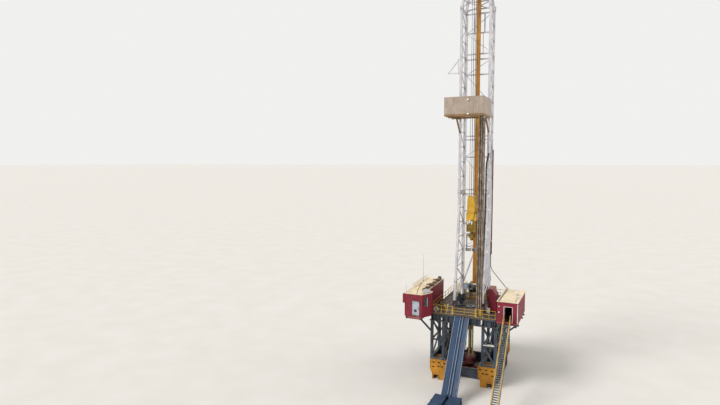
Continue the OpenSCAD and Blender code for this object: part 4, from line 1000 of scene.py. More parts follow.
@dataclass
class Wellhead(Assembly):
    """Blowout preventer, the riser over it and the hoists that carry it."""

    finishes = {Paint.MAROON: "blowout_preventer", Paint.OLIVE: "bell_nipple"}
    bonnet_x: float = 0.62
    bonnet_rows: tuple[float, float] = (0.18, 0.42)
    # Height, radius, number and size of the rings of bolts
    flanges: tuple[tuple[float, float, int, float], ...] = (
        (0.06, 0.26, 16, 0.036), (1.65, 0.165, 12, 0.034), (1.24, 0.315, 18, 0.034))
    operator: Profile = ((0.085, 0), (0.085, 0.03), (0.062, 0.032), (0.062, 0.19), (0.075, 0.192), (0.075, 0.22),
                         (0.02, 0.222), (0.02, 0.27))
    valve: Profile = ((0.05, 0), (0.05, 0.2), (0.09, 0.201), (0.09, 0.235), (0.05, 0.236), (0.05, 0.26),
                      (0.08, 0.261), (0.08, 0.4), (0.05, 0.401), (0.05, 0.43), (0.09, 0.431), (0.09, 0.46))
    wheel_y: float = 0.49
    # Place of the pipe whose white paint stands for a sunlit highlight
    pale_line: tuple[float, float] = (-0.43, -0.35)
    hoist_x: tuple[float, float] = (0.33, 0.55)
    hoist_y: float = -1.7
    hoist_foot: float = 2.15

    def make_rams(self) -> None:
        """Makes the ram operators behind the bonnets, their tie bolts and the bolted flanges."""
        rams = Shape()
        for z in self.bonnet_rows:
            rams.turned(self.operator, (self.bonnet_x, 0, z), X_AXIS, 20)
            rams.bolts([(self.bonnet_x, y, z + s * 0.062) for y in (-0.13, -0.05, 0.05, 0.13) for s in BOTH],
                       X_AXIS, 0.036)
            for y in (-0.172, 0.172):
                rams.block((0.4, y, z), (0.02, 0.008, 0.17)).rod((0.3, y, z + 0.075), (0.58, y, z + 0.075), 0.014, 8)
        rams.mirrored()
        for z, radius, count, size in self.flanges:
            rams.bolts(circle((0, 0, z), UP, radius, count), UP, size)
        rams.turned([(0.445, 0), (0.455, 0.012), (0.455, 0.06), (0.445, 0.072)], (0, 0, 0.72), UP, 40)
        for way in BOTH:
            rams.turned(self.valve, (0, way * 0.16, 0.3), Y_AXIS * way, 20)
            y = way * self.wheel_y
            rams.rod((0, y, 0.3), (0, y, 0.47), 0.022, 10).hoop((0, y, 0.46), UP, 0.075, 0.01)
        rams.make("preventer_rams", Paint.MAROON, smooth=35)

    def make_standing_line(self) -> None:
        """Makes the line with its unions that stands at the preventer's left; its white is a painted highlight of sun
        on the pipe.
        """
        # Painted highlight: the pipe at the preventer's left is white for the sunlight on it
        line = Shape(*self.pale_line).rod((0, 0, 0.95), (0, 0, 1.62), 0.045)
        for z in (0.98, 1.27, 1.56):
            line.turned([(0.045, 0), (0.066, 0.008), (0.066, 0.05), (0.045, 0.058)], (0, 0, z), UP, 16)
        line.tube([(0, 0, 1.6), (0, 0, 1.68), (0.04, 0.03, 1.73), (0.2, 0.15, 1.74)], 0.04, 12)
        for z in (1.1, 1.42):
            line.bar((0, 0, z), (0.12, 0.1, z), 0.03, 0.05)
        line.make("preventer_line_painted_highlight", Paint.WHITE, smooth=45)

    def make_hoists(self) -> None:
        """Makes the two columns that hang from the floor beams to lift the preventer, and their beam."""
        columns, foot, top = Shape(y=self.hoist_y), self.hoist_foot, PLAN.beam_bottom
        columns.box((0.2, -0.05, top - 0.02), (0.7, 0.05, top))
        collars = [(0.045, z, z + 0.03) for z in steps(foot + 0.2, top - 0.2, 4)]
        for half, low, high in ((0.035, foot, top), (0.06, top - 0.03, top), *collars):
            columns.row(0, self.hoist_x, (-half, -half, low), (half, half, high))
        for x in self.hoist_x:
            columns.turned([(0.045, 0), (0.045, 0.22), (0.025, 0.221), (0.025, 0.3)], (x, 0, foot), -UP, 14)
            columns.hoop((x, 0, foot - 0.34), Y_AXIS, 0.045, 0.014)
        columns.make("preventer_hoists", Paint.OLIVE, smooth=35)


@dataclass
class DrillFloor(Assembly):
    """Deck, rotary table and the small things that stand on the deck."""

    finishes = {Paint.DECK: "drill_floor", Paint.SLATE: "rotary_table", Paint.RAIL: "floor_handrails v_door_gate"}
    board_h: float = 0.075
    lift: float = 0.028
    rail_inset: float = 0.04
    socket_half: float = 0.026
    # Gap in the front rail at the V-door
    gap: tuple[float, float] = (-0.66, 0.89)
    # Radius and height of the insert's corners
    insert: Profile = ((0.122, 0.001), (0.122, 0.012), (0.15, 0.016), (0.25, 0.016), (0.27, 0.008), (0.27, 0.001))
    valve: tuple[float, float] = (-1.27, -1.78)
    coil_x: float = -1.76
    coil_radii: tuple[float, ...] = (0.13, 0.15, 0.14, 0.125)
    column: Profile = ((0.05, 0), (0.05, 0.015), (0.028, 0.016), (0.028, 0.4), (0.045, 0.41), (0.045, 0.46))

    def make_rail_feet(self) -> None:
        """Makes the boards along the foot of the handrails and the bolted sockets of the posts."""
        inset, half, (gap0, gap1) = self.rail_inset, self.socket_half, self.gap
        x, y0, y1 = PLAN.floor_half - inset, PLAN.floor_front + inset, PLAN.floor_back - inset
        boards, sockets = Shape(z=PLAN.floor + self.lift + self.board_h / 2), Shape(z=PLAN.floor)
        for a, b in (((-x, y0), (gap0, y0)), ((gap1, y0), (x, y0)), ((-x, y1), (x, y1)), ((-x, y0), (-x, y1)),
                     ((x, part("cabin_walls", 1, 1) + 0.02), (x, y1))):
            boards.bar((*a, 0), (*b, 0), 0.008, self.board_h)
        boards.make("floor_toe_boards", Paint.SLATE)
        rows = [(px, y0) for px in (*steps(-2.1, -0.72, 4), *steps(0.92, 2.1, 3))]
        rows += [(-x, py) for py in steps(y0 + 0.1, PLAN.floor_back - 0.1, 8)]
        for px, py in rows:
            sockets.box((px - half, py - half, 0.024), (px + half, py + half, 0.07))
        sockets.make("floor_rail_sockets", Paint.RAIL)

    def make_bushing(self) -> None:
        """Makes the turned insert of the rotary table with its drive holes' plugs."""
        insert = Shape(z=part("rotary_table", 1, 2))
        insert.skin([circle((0, 0, z), UP, r, 40) for r, z in self.insert], closed=True)
        insert.bolts(circle((0, 0, 0.016), UP, 0.2, 4), UP, 0.05).bolts(circle((0, 0, 0), UP, 0.31, 16), UP)
        insert.make("master_bushing", Paint.STEEL, smooth=30)

    def make_small_gear(self) -> None:
        """Makes the switch box, the stand's trim, the coil on the rail, the valve and the white column."""
        floor, (x, y) = PLAN.floor, self.valve
        box = Shape(1.4, -1.01, floor).box((-0.1, -0.08, 0), (0.1, 0.08, 0.31))
        box.box((-0.11, -0.09, 0.27), (0.11, 0.09, 0.3)).box((-0.09, -0.086, 0.05), (0.09, -0.08, 0.25))
        box.rod((0.08, -0.09, 0.13), (0.08, -0.09, 0.17), 0.006)
        box.make("deck_switch_box", Paint.WHITE, bevel=0.004)
        stand = Shape(1.12, -2.31, floor).box((-0.09, 0, 0.43), (0.09, 0.11, 0.455))
        stand.louvres((-0.06, 0.009, 0.1), (0.06, 0.009, 0.36), 6, -Y_AXIS, 0.012)
        stand.make("yellow_stand_trim", Paint.RAIL)
        coil = Shape(self.coil_x, PLAN.floor_front, floor)
        for i, ring in enumerate(self.coil_radii):
            coil.hoop((0, 0.13 + 0.024 * i, 0.2), Y_AXIS, ring, 0.015, 26)
        coil.rod((0, 0.17, 0.33), (0, 0.07, 0.48), 0.01).make("rail_hose_coil", Paint.WHITE, smooth=60)
        valve = Shape(x, y, floor).box((-0.1, -0.1, 0), (0.1, 0.1, 0.024)).rod((0, 0, 0), (0, 0, 0.34), 0.035)
        valve.turned([(0.05, 0), (0.075, 0.02), (0.075, 0.12), (0.05, 0.14)], (0, 0, 0.2), UP, 18)
        valve.turned([(0.06, 0), (0.06, 0.02), (0.045, 0.021), (0.045, 0.1)], (-0.1, 0, 0.27), X_AXIS, 16)
        valve.hoop((0, 0, 0.42), UP, 0.085, 0.011).bar((-0.085, 0, 0.42), (0.085, 0, 0.42), 0.016)
        valve.rod((0, 0, 0.34), (0, 0, 0.43), 0.012).make("deck_valve_stand", Paint.RAIL, smooth=40)
        column = Shape(x + 0.16, y + 0.02, floor).turned(self.column, sides=16)
        column.make("deck_white_column", Paint.WHITE, smooth=40)


@dataclass
class Ramp(Assembly):
    """V-door ramp, seen from above as smooth ridges beside two pipe troughs."""

    finishes = {Paint.RAMP: "v_door_ramp"}
    foot_z: float = 0.55
    half: float = 0.475
    frames: int = 9
    strips: tuple[float, float] = (0.083, 0.453)
    stringer: float = 0.36
    hooks: tuple[float, float] = (-0.3, 0.3)

    def on_slope(self, x: float, share: float, lift: float) -> Vector:
        """Gives a place on the ramp.

        Args:
            x: place across it.
            share: share of its length from the foot.
            lift: distance out of its face.

        Returns:
            The place.
        """
        foot = Vector((x, part("v_door_ramp", 0, 1), self.foot_z))
        head = Vector((x, PLAN.floor_front, PLAN.floor))
        return foot.lerp(head, share) + X_AXIS.cross((head - foot).normalized()) * lift

    def make_trim(self) -> None:
        """Makes the ramp's wear strips, its bearers and stringers, and its hooks on the floor."""
        strips, bearers, hooks = Shape(), Shape(), Shape()
        for x in self.strips:
            strips.bar(self.on_slope(x, 0.02, 0.003), self.on_slope(x, 0.985, 0.003), 0.036, 0.006)
        strips.mirrored().make("ramp_wear_strips", Paint.STRIP)
        for share in steps(0.09, 0.93, self.frames):
            bearers.bar(self.on_slope(-self.half, share, -0.145), self.on_slope(self.half, share, -0.145), 0.06, 0.05)
        for x in (-self.stringer, self.stringer):
            bearers.bar(self.on_slope(x, 0.08, -0.15), self.on_slope(x, 0.93, -0.15), 0.05, 0.06)
        bearers.make("ramp_bearers", Paint.RAMP)
        y, z = PLAN.floor_front, PLAN.floor
        hooks.row(0, self.hooks, (-0.03, y - 0.16, z), (0.03, y + 0.1, z + 0.016))
        hooks.bolts([(x, y + d, z + 0.016) for x in self.hooks for d in (0.03, 0.07)], UP, 0.026)
        hooks.make("ramp_hooks", Paint.SLATE)


@dataclass
class Catwalk(Assembly):
    """Catwalk bays with their deck seams, edge angles and side sockets."""

    finishes = {Paint.RAMP: "catwalk"}
    half: float = 0.8
    top: float = 0.55
    bays: int = 4
    trough: float = 0.09
    edge: float = 0.03
    lip: float = 0.022
    brace: float = 0.03

    def make_trim(self) -> None:
        """Makes the edge angles, the cross seams and the sockets for the side stakes."""
        y0, y1, half, top = part("catwalk", 0, 1), part("catwalk", 1, 1), self.half, self.top
        trim = Shape().box((half - self.edge, y0, top), (half, y1, top + self.lip))
        trim.box((self.trough, y0, top), (self.trough + self.lip, y1, top + 0.016))
        trim.row(1, steps(y0, y1, self.bays)[1:-1], (self.trough + self.lip, -0.02, top),
                 (half - self.edge, 0.02, top + 0.006))
        sockets = steps(y0 + 0.3, y1 - 0.3, 2 * self.bays - 1)
        trim.row(1, sockets, (half - 0.01, -0.03, top - 0.17), (half + 0.035, 0.03, top + 0.02))
        trim.bolts([(half + 0.035, y, top - z) for y in sockets for z in (0.05, 0.12)], X_AXIS, 0.022)
        trim.mirrored().make("catwalk_trim", Paint.RAMP)

    def make_bracing(self) -> None:
        """Makes the sloping braces between the legs on both sides and the feet under them."""
        braces, x = Shape(), self.half - 0.045
        rows = steps(part("catwalk", 0, 1) + 0.045, part("catwalk", 1, 1) - 0.045, self.bays)
        for (a, b), (low, high) in product(zip(rows, rows[1:]), ((0.06, 0.3), (0.3, 0.06))):
            braces.bar((x, a, low), (x, b, high), self.brace)
        braces.row(1, rows, (self.half - 0.11, -0.044, 0.0), (self.half + 0.02, 0.044, 0.012))
        braces.mirrored().make("catwalk_bracing", Paint.RAMP)


@dataclass
class Stair(Assembly):
    """Stair at forty-five degrees from the ground to the right cabin."""

    finishes = {Paint.SLATE_FRAME: "stair_stringers", Paint.GRATING: "stair_treads", Paint.RAIL: "stair_handrails"}
    middle: float = 2.87
    half: float = 0.1825
    stringer: float = 0.1975
    foot_y: float = -7.4
    treads: int = 45
    depth: float = 0.11
    gap_w: float = 0.022
    bar: float = 0.003
    posts: int = 10

    def make_gratings(self) -> None:
        """Makes the nosing and the bearing bars of each tread."""
        bars, pitch, front = Shape(), PLAN.floor / (self.treads + 1), self.depth / 2
        left, right = self.middle - self.half, self.middle + self.half
        for z in (i * pitch for i in range(1, self.treads + 1)):
            y = self.foot_y + z
            bars.box((left, y - front - 0.004, z - 0.03), (right, y - front + 0.012, z + 0.003))
            bars.row(1, [y - front + k * self.gap_w for k in range(1, 5)], (left, -self.bar, z),
                     (right, self.bar, z + 0.004))
        bars.make("stair_gratings", Paint.GRATING)

    def make_fittings(self) -> None:
        """Makes the feet of the rail posts and the foot plates of the stringers."""
        feet, y = Shape(), self.foot_y
        # The rail posts stand on the stringers' sloping tops
        lift = 0.07 * math.sqrt(2) - 0.035
        for x in (self.middle - self.stringer, self.middle + self.stringer):
            for z in (0.162 + i * (PLAN.floor - 0.234) / 9 for i in range(self.posts)):
                feet.bar((x, y + z - 0.03, z + lift - 0.024), (x, y + z + 0.03, z + lift + 0.036), 0.034, 0.02)
            feet.box((x - 0.05, y - 0.05, 0), (x + 0.05, y + 0.16, 0.014))
            feet.bolts([(x + s * 0.035, y + d, 0.014) for s in BOTH for d in (-0.02, 0.13)], UP, 0.022)
        feet.make("stair_fittings", Paint.RAIL)


@dataclass
class Doghouse(Assembly):
    """Long crimson cabin with its slanted control bay."""

    finishes = {Paint.CRIMSON: "doghouse_floor doghouse_walls doghouse_locker", Paint.CREAM: "doghouse_roof",
                Paint.DOOR: "doghouse_door", Paint.GLASS: "doghouse_glass"}
    front: float = -3.7
    back: float = 1.3
    out: float = -3.4
    inner: float = -2.275
    bay: tuple[float, float, float] = (-1.9, -3.0, -2.6)
    roof: float = 6.0
    wall_h: float = 1.4
    door: tuple[float, float] = (-2.92, -2.445)
    door_h: float = 0.99
    # Run along the bay's wall, width, height over the floor, and height of the slanted window
    window: tuple[float, float, float, float] = (0.18, 0.4, 0.62, 0.56)
    boxes: tuple[tuple[float, float, float, float], ...] = (
        (-2.1, 0.3, 0.22, 0.12), (-1.3, 0.22, 0.3, 0.16), (-0.55, 0.35, 0.2, 0.1), (0.3, 0.25, 0.26, 0.14),
        (0.85, 0.2, 0.2, 0.2))
    vent: tuple[float, float] = (-2.703, 4.904)

    def along_bay(self, run: float, out: float, z: float) -> Vector:
        """Gives a place on the slanted wall.

        Args:
            run: distance along it from the front corner.
            out: distance out of its face.
            z: height.

        Returns:
            The place.
        """
        a, b = Vector((self.inner, self.front, z)), Vector((*self.bay[:2], z))
        along = (b - a).normalized()
        return a + along * run + along.cross(UP) * out

    def make_wall_trim(self) -> None:
        """Makes the posts, the foot and head rails and the ribs of the walls, and the frame of the door."""
        bay_x, bay_y, bay_back = self.bay
        plan = [(self.out, self.front), (self.inner, self.front), (bay_x, bay_y), (bay_x, bay_back),
                (self.inner, bay_back), (self.inner, self.back), (self.out, self.back)]
        sides = list(zip(plan, plan[1:] + plan[:1]))
        beside_door = [(plan[0], (self.door[0] - 0.01, self.front)), ((self.door[1] + 0.01, self.front), plan[1])]
        trim, top = Shape(z=PLAN.floor), self.wall_h
        for z, runs in ((0.03, beside_door + sides[1:]), (top - 0.03, sides)):
            for a, b in runs:
                trim.bar((*a, z), (*b, z), 0.02, 0.06)
        for corner in plan:
            trim.bar((*corner, 0), (*corner, top), 0.035)
        ribs, z0, z1 = steps(self.front + 0.35, self.back - 0.25, 14), 0.06, top - 0.06
        trim.row(1, ribs, (self.out - 0.008, -0.02, z0), (self.out, 0.02, z1))
        trim.row(1, [y for y in ribs if y > bay_back + 0.1], (self.inner, -0.02, z0), (self.inner + 0.008, 0.02, z1))
        trim.row(0, steps(self.out + 0.25, self.inner - 0.25, 3), (-0.02, self.back, z0), (0.02, self.back + 0.008, z1))
        trim.make("doghouse_wall_trim", Paint.CRIMSON)
        jambs, y, z = Shape(z=PLAN.floor), self.front - 0.006, self.door_h
        x0, x1 = self.door[0] - 0.02, self.door[1] + 0.02
        for x in (x0, x1):
            jambs.bar((x, y, 0), (x, y, z), 0.03, 0.016, side=Y_AXIS)
        jambs.bar((x0 - 0.015, y, z), (x1 + 0.015, y, z), 0.016, 0.03)
        jambs.bar((x0 - 0.03, y - 0.03, z + 0.03), (x1 + 0.03, y - 0.03, z + 0.03), 0.07, 0.008)
        jambs.make("doghouse_door_frame", Paint.CRIMSON)

    def make_window_frame(self) -> None:
        """Makes the frame of the slanted window and the white post in it."""
        run, width, rise, height = self.window
        bars, post, at = Shape(z=PLAN.floor + rise), Shape(z=PLAN.floor + rise), run + width * 0.72
        for a in (run - 0.012, run + width + 0.012):
            bars.bar(self.along_bay(a, 0.006, -0.02), self.along_bay(a, 0.006, height + 0.02), 0.028, 0.022)
        for z in (-0.01, height + 0.01):
            bars.bar(self.along_bay(run - 0.02, 0.006, z), self.along_bay(run + width + 0.02, 0.006, z), 0.022, 0.028)
        bars.make("doghouse_window_frame", Paint.CRIMSON)
        post.bar(self.along_bay(at, 0.014, 0), self.along_bay(at, 0.014, height), 0.05, 0.02)
        post.make("doghouse_window_post", Paint.WHITE)

    def make_roof_trim(self) -> None:
        """Makes the seams, flashing and lifting eyes of the roof, its rail, beacon and antenna, and a brown tube that
        paints the antenna's shadow.
        """
        trim, rail, x = Shape(z=self.roof), Shape(z=self.roof), self.out + 0.01
        trim.row(1, steps(self.front + 0.5, self.back - 0.5, 8), (self.out, -0.012, 0), (self.inner, 0.012, 0.016))
        for edge in (self.out - 0.012, self.inner + 0.012):
            trim.bar((edge, self.front, 0), (edge, self.back, 0), 0.02, 0.03)
        for eye in ((self.out + 0.1, self.front + 0.15), (self.inner - 0.1, self.back - 0.15),
                    (self.out + 0.1, self.back - 0.15), (self.inner - 0.1, self.front + 0.3)):
            trim.hoop((*eye, 0.03), Y_AXIS, 0.035, 0.01)
        trim.make("doghouse_roof_trim", Paint.CREAM)
        for y in steps(-2.2, 0.9, 9):
            rail.bar((x, y, 0), (x, y, 0.26), 0.02)
        for z in (0.1, 0.18, 0.25):
            rail.bar((x, -2.2, z), (x, 0.9, z), 0.016, 0.024)
        rail.make("doghouse_roof_rail", Paint.CREAM)
        # Painted shadow: a thin brown tube laid across the roof from near the whip antenna's foot to the front edge,
        # where the antenna's shadow falls
        line = Shape(z=self.roof + 0.012).tube([(-2.62, self.front + 0.02, 0), (-2.9, -2.6, 0), (-3.1, -1.6, 0),
                                                (-3.28, -0.65, 0)], 0.014, 6)
        line.make("doghouse_roof_antenna_shadow", Paint.BROWN, smooth=50)
        beacon = Shape(-3.37, -3.62, self.roof).rod((0, 0, 0), (0, 0, 0.42), 0.022)
        beacon.turned([(0.02, 0), (0.05, 0.02), (0.05, 0.09), (0.03, 0.11)], (0, 0, 0.42), UP, 12)
        beacon.make("doghouse_roof_beacon", Paint.WHITE, smooth=40)
        whip = Shape(-3.33, -0.1, self.roof).turned([(0.03, 0), (0.03, 0.05), (0.008, 0.07), (0.005, 1.9)], sides=8)
        whip.make("doghouse_whip_antenna", Paint.SLATE, smooth=40)

    def make_roof_gear(self) -> None:
        """Makes the cover tilted up over the control bay, and the pipes, reels and boxes along the inner edge."""
        a, b, back = Vector((-2.25, -3.5, 0.02)), Vector((-1.93, -2.95, 0.02)), Vector((-0.2, 0.42, 0.09))
        hatch, gear = Shape(z=self.roof).prism([a, b, b + back, a + back], (0, 0, 0.02)), Shape(z=self.roof)
        for share in (0.2, 0.8):
            at = a.lerp(b, share) + back * 0.9
            hatch.rod(at - UP * 0.1, at, 0.012, 8)
        for at in (a, b):
            hatch.bar(at + UP * 0.022, at + back + UP * 0.022, 0.016, 0.02)
        hatch.make("doghouse_roof_hatch", Paint.DOOR)
        gear.tube([(-2.62, -2.5, 0.05), (-2.5, -1.9, 0.06), (-2.42, -1.2, 0.05), (-2.5, -0.4, 0.06),
                   (-2.4, 0.5, 0.05)], 0.035)
        gear.tube([(-2.36, -2.55, 0.03), (-2.33, -1.5, 0.035), (-2.36, 0.1, 0.03), (-2.33, 0.9, 0.03)], 0.022)
        for y, long, wide, tall in self.boxes:
            gear.box((-2.55, y, 0), (-2.55 + wide, y + long, tall))
            gear.box((-2.56, y - 0.01, tall), (-2.54 + wide, y + long + 0.01, tall + 0.012))
        for y, r in product((-0.9, 0.62), (0.09, 0.12, 0.105)):
            gear.hoop((-2.72, y, 0.02 + 0.1 * (r - 0.09)), UP, r, 0.017)
        gear.make("doghouse_roof_pipes", Paint.BROWN, smooth=40)

    def make_wall_gear(self) -> None:
        """Makes the ribs and the lid's edge of the side locker, and the cooling unit."""
        low, high = node_box("doghouse_locker")
        trim = Shape().row(1, steps(low.y + 0.06, high.y - 0.06, 3), (low.x, -0.015, low.z + 0.02),
                           (low.x + 0.006, 0.015, high.z - 0.09))
        trim.bar((low.x + 0.012, low.y, high.z - 0.055), (low.x + 0.012, high.y, high.z - 0.055), 0.02)
        trim.bar((low.x + 0.1, low.y - 0.004, low.z + 0.04), (low.x + 0.1, low.y - 0.004, high.z - 0.09), 0.14, 0.008,
                 side=Y_AXIS)
        trim.make("doghouse_locker_trim", Paint.CRIMSON)
        cooler = Shape().box((-3.58, -2.35, 4.72), (-3.4, -1.85, 5.1))
        cooler.hoop((-3.583, -2.1, 4.91), X_AXIS, 0.13, 0.012).hoop((-3.583, -2.1, 4.91), X_AXIS, 0.07, 0.008)
        cooler.louvres((-3.54, -2.352, 4.78), (-3.44, -2.352, 5.04), 8, -Y_AXIS, 0.01)
        cooler.make("doghouse_cooling_unit", Paint.SLATE_FRAME, bevel=0.005)

    def make_door_fittings(self) -> None:
        """Makes the round vent, the handle and the kick plate, which ride on the door's leaf."""
        x, z = self.vent
        vent, handle = Shape(x, self.front, z), Shape(y=self.front)
        vent.hoop((0, -0.006, 0), Y_AXIS, 0.088, 0.009).turned([(0.082, 0), (0.082, 0.006)], (0, -0.006, 0), Y_AXIS)
        for dz in steps(-0.06, 0.06, 5):
            half = math.sqrt(0.08 ** 2 - dz ** 2)
            vent.bar((-half, -0.01, dz), (half, -0.01, dz), 0.012)
        vent.make("doghouse_door_vent", Paint.SLATE, "doghouse_leaf", smooth=40)
        handle.box((-2.505, -0.006, 5.0), (-2.475, 0, 5.14)).rod((-2.49, -0.04, 5.07), (-2.49, 0, 5.07), 0.008, 8)
        handle.rod((-2.49, -0.036, 5.07), (-2.58, -0.036, 5.07), 0.008, 8)
        handle.bar((-2.9, -0.003, 4.6), (-2.47, -0.003, 4.6), 0.006, 0.07)
        handle.make("doghouse_door_handle", Paint.STEEL, "doghouse_leaf", smooth=40)


@dataclass
class StairCabin(Assembly):
    """Crimson cabin over the head of the stair, with its door open."""

    finishes = {Paint.CRIMSON: "cabin_floor cabin_walls", Paint.CREAM: "cabin_roof", Paint.DOOR: "cabin_door"}
    low_x: float = 2.225
    high_x: float = 3.475
    front: float = -2.7
    back: float = 0.6
    wall_h: float = 1.26
    roof: float = 5.855
    door: tuple[float, float] = (2.66, 3.135)
    door_h: float = 0.99
    cowl: Profile = ((0.1, 0), (0.1, 0.03), (0.06, 0.04), (0.06, 0.1), (0.13, 0.11), (0.14, 0.15), (0.1, 0.2),
                     (0.03, 0.22))

    def make_wall_trim(self) -> None:
        """Makes the ribs and rails of the walls, the white corner strip that paints a highlight, the pale doorway
        frame, and the front lamps.
        """
        trim, top, middle = Shape(z=PLAN.floor), self.wall_h, self.wall_h / 2
        for x, out in ((self.low_x, -1), (self.high_x, 1)):
            for z in (0.03, top - 0.03):
                trim.bar((x, self.front, z), (x, self.back, z), 0.018, 0.06)
            for y in steps(self.front + 0.3, self.back - 0.3, 8):
                trim.block((x + out * 0.003, y, middle), (0.01, 0.04, top - 0.12))
        for x in steps(self.low_x + 0.3, self.high_x - 0.3, 2):
            trim.block((x, self.back + 0.003, middle), (0.04, 0.01, top - 0.12))
        for y in (self.front, self.back):
            trim.bar((self.low_x, y, top - 0.03), (self.high_x, y, top - 0.03), 0.018, 0.06)
        trim.make("cabin_wall_trim", Paint.CRIMSON)
        strips, lamps, y, z = Shape(z=PLAN.floor), Shape(z=PLAN.floor), self.front - 0.003, self.door_h
        # Painted highlight: the white strip down the front-right corner stands for light on the corner's edge; the
        # strips round the doorway are pale paint
        strips.bar((self.high_x - 0.02, y, 0), (self.high_x - 0.02, y, top - 0.06), 0.04, 0.012, side=Y_AXIS)
        for x in (self.door[0] - 0.02, self.door[1] + 0.02):
            strips.bar((x, y, 0), (x, y, z), 0.024, 0.014, side=Y_AXIS)
        strips.bar((self.door[0] - 0.03, y, z), (self.door[1] + 0.03, y, z), 0.014, 0.024)
        strips.make("cabin_corner_highlight_and_door_strips", Paint.WHITE)
        for z in (0.62, 0.98):
            lamps.block((2.36, self.front - 0.03, z), (0.075, 0.06, 0.06))
        lamps.make("cabin_front_lamps", Paint.LENS, bevel=0.01)

    def make_roof_trim(self) -> None:
        """Makes the roof's seams and flashing, its cable tray, its cowl with a box, and its conduit."""
        trim, tray, cowl, line = (Shape(z=self.roof) for _ in range(4))
        seams = steps(self.front + 0.45, self.back - 0.45, 5)
        trim.row(1, seams, (self.low_x + 0.22, -0.01, 0), (self.high_x, 0.01, 0.012))
        for x in (self.low_x - 0.005, self.high_x + 0.005):
            trim.bar((x, self.front, 0), (x, self.back, 0), 0.018, 0.02)
        trim.make("cabin_roof_trim", Paint.CREAM)
        tray.bar((2.33, 0.42, 0.012), (2.33, self.front + 0.02, 0.012), 0.07, 0.024)
        tray.make("cabin_roof_cable_tray", Paint.SLATE)
        cowl.turned(self.cowl, (3.13, -0.85, 0), UP, 28).box((3.2, -1.45, 0), (3.38, -1.2, 0.06))
        cowl.make("cabin_roof_cowl", Paint.WHITE, smooth=50)
        line.tube([(3.18, -0.95, 0.02), (3.24, -1.1, 0.012), (3.3, -1.5, 0.012), (3.3, self.front + 0.01, 0.012)],
                  0.011, 6)
        line.make("cabin_roof_conduit", Paint.SLATE, smooth=50)

    def make_door_handle(self) -> None:
        """Makes the handle, which rides on the open door's leaf."""
        low, high = node_box("cabin_door")
        tip = Vector(((low.x + high.x) / 2 - 0.035, high.y - 0.05, PLAN.floor + 0.5))
        handle = Shape().block(tip, (0.05, 0.03, 0.12)).rod(tip, tip - Y_AXIS * 0.1, 0.009, 8)
        handle.make("cabin_door_handle", Paint.STEEL, "cabin_leaf", smooth=40)


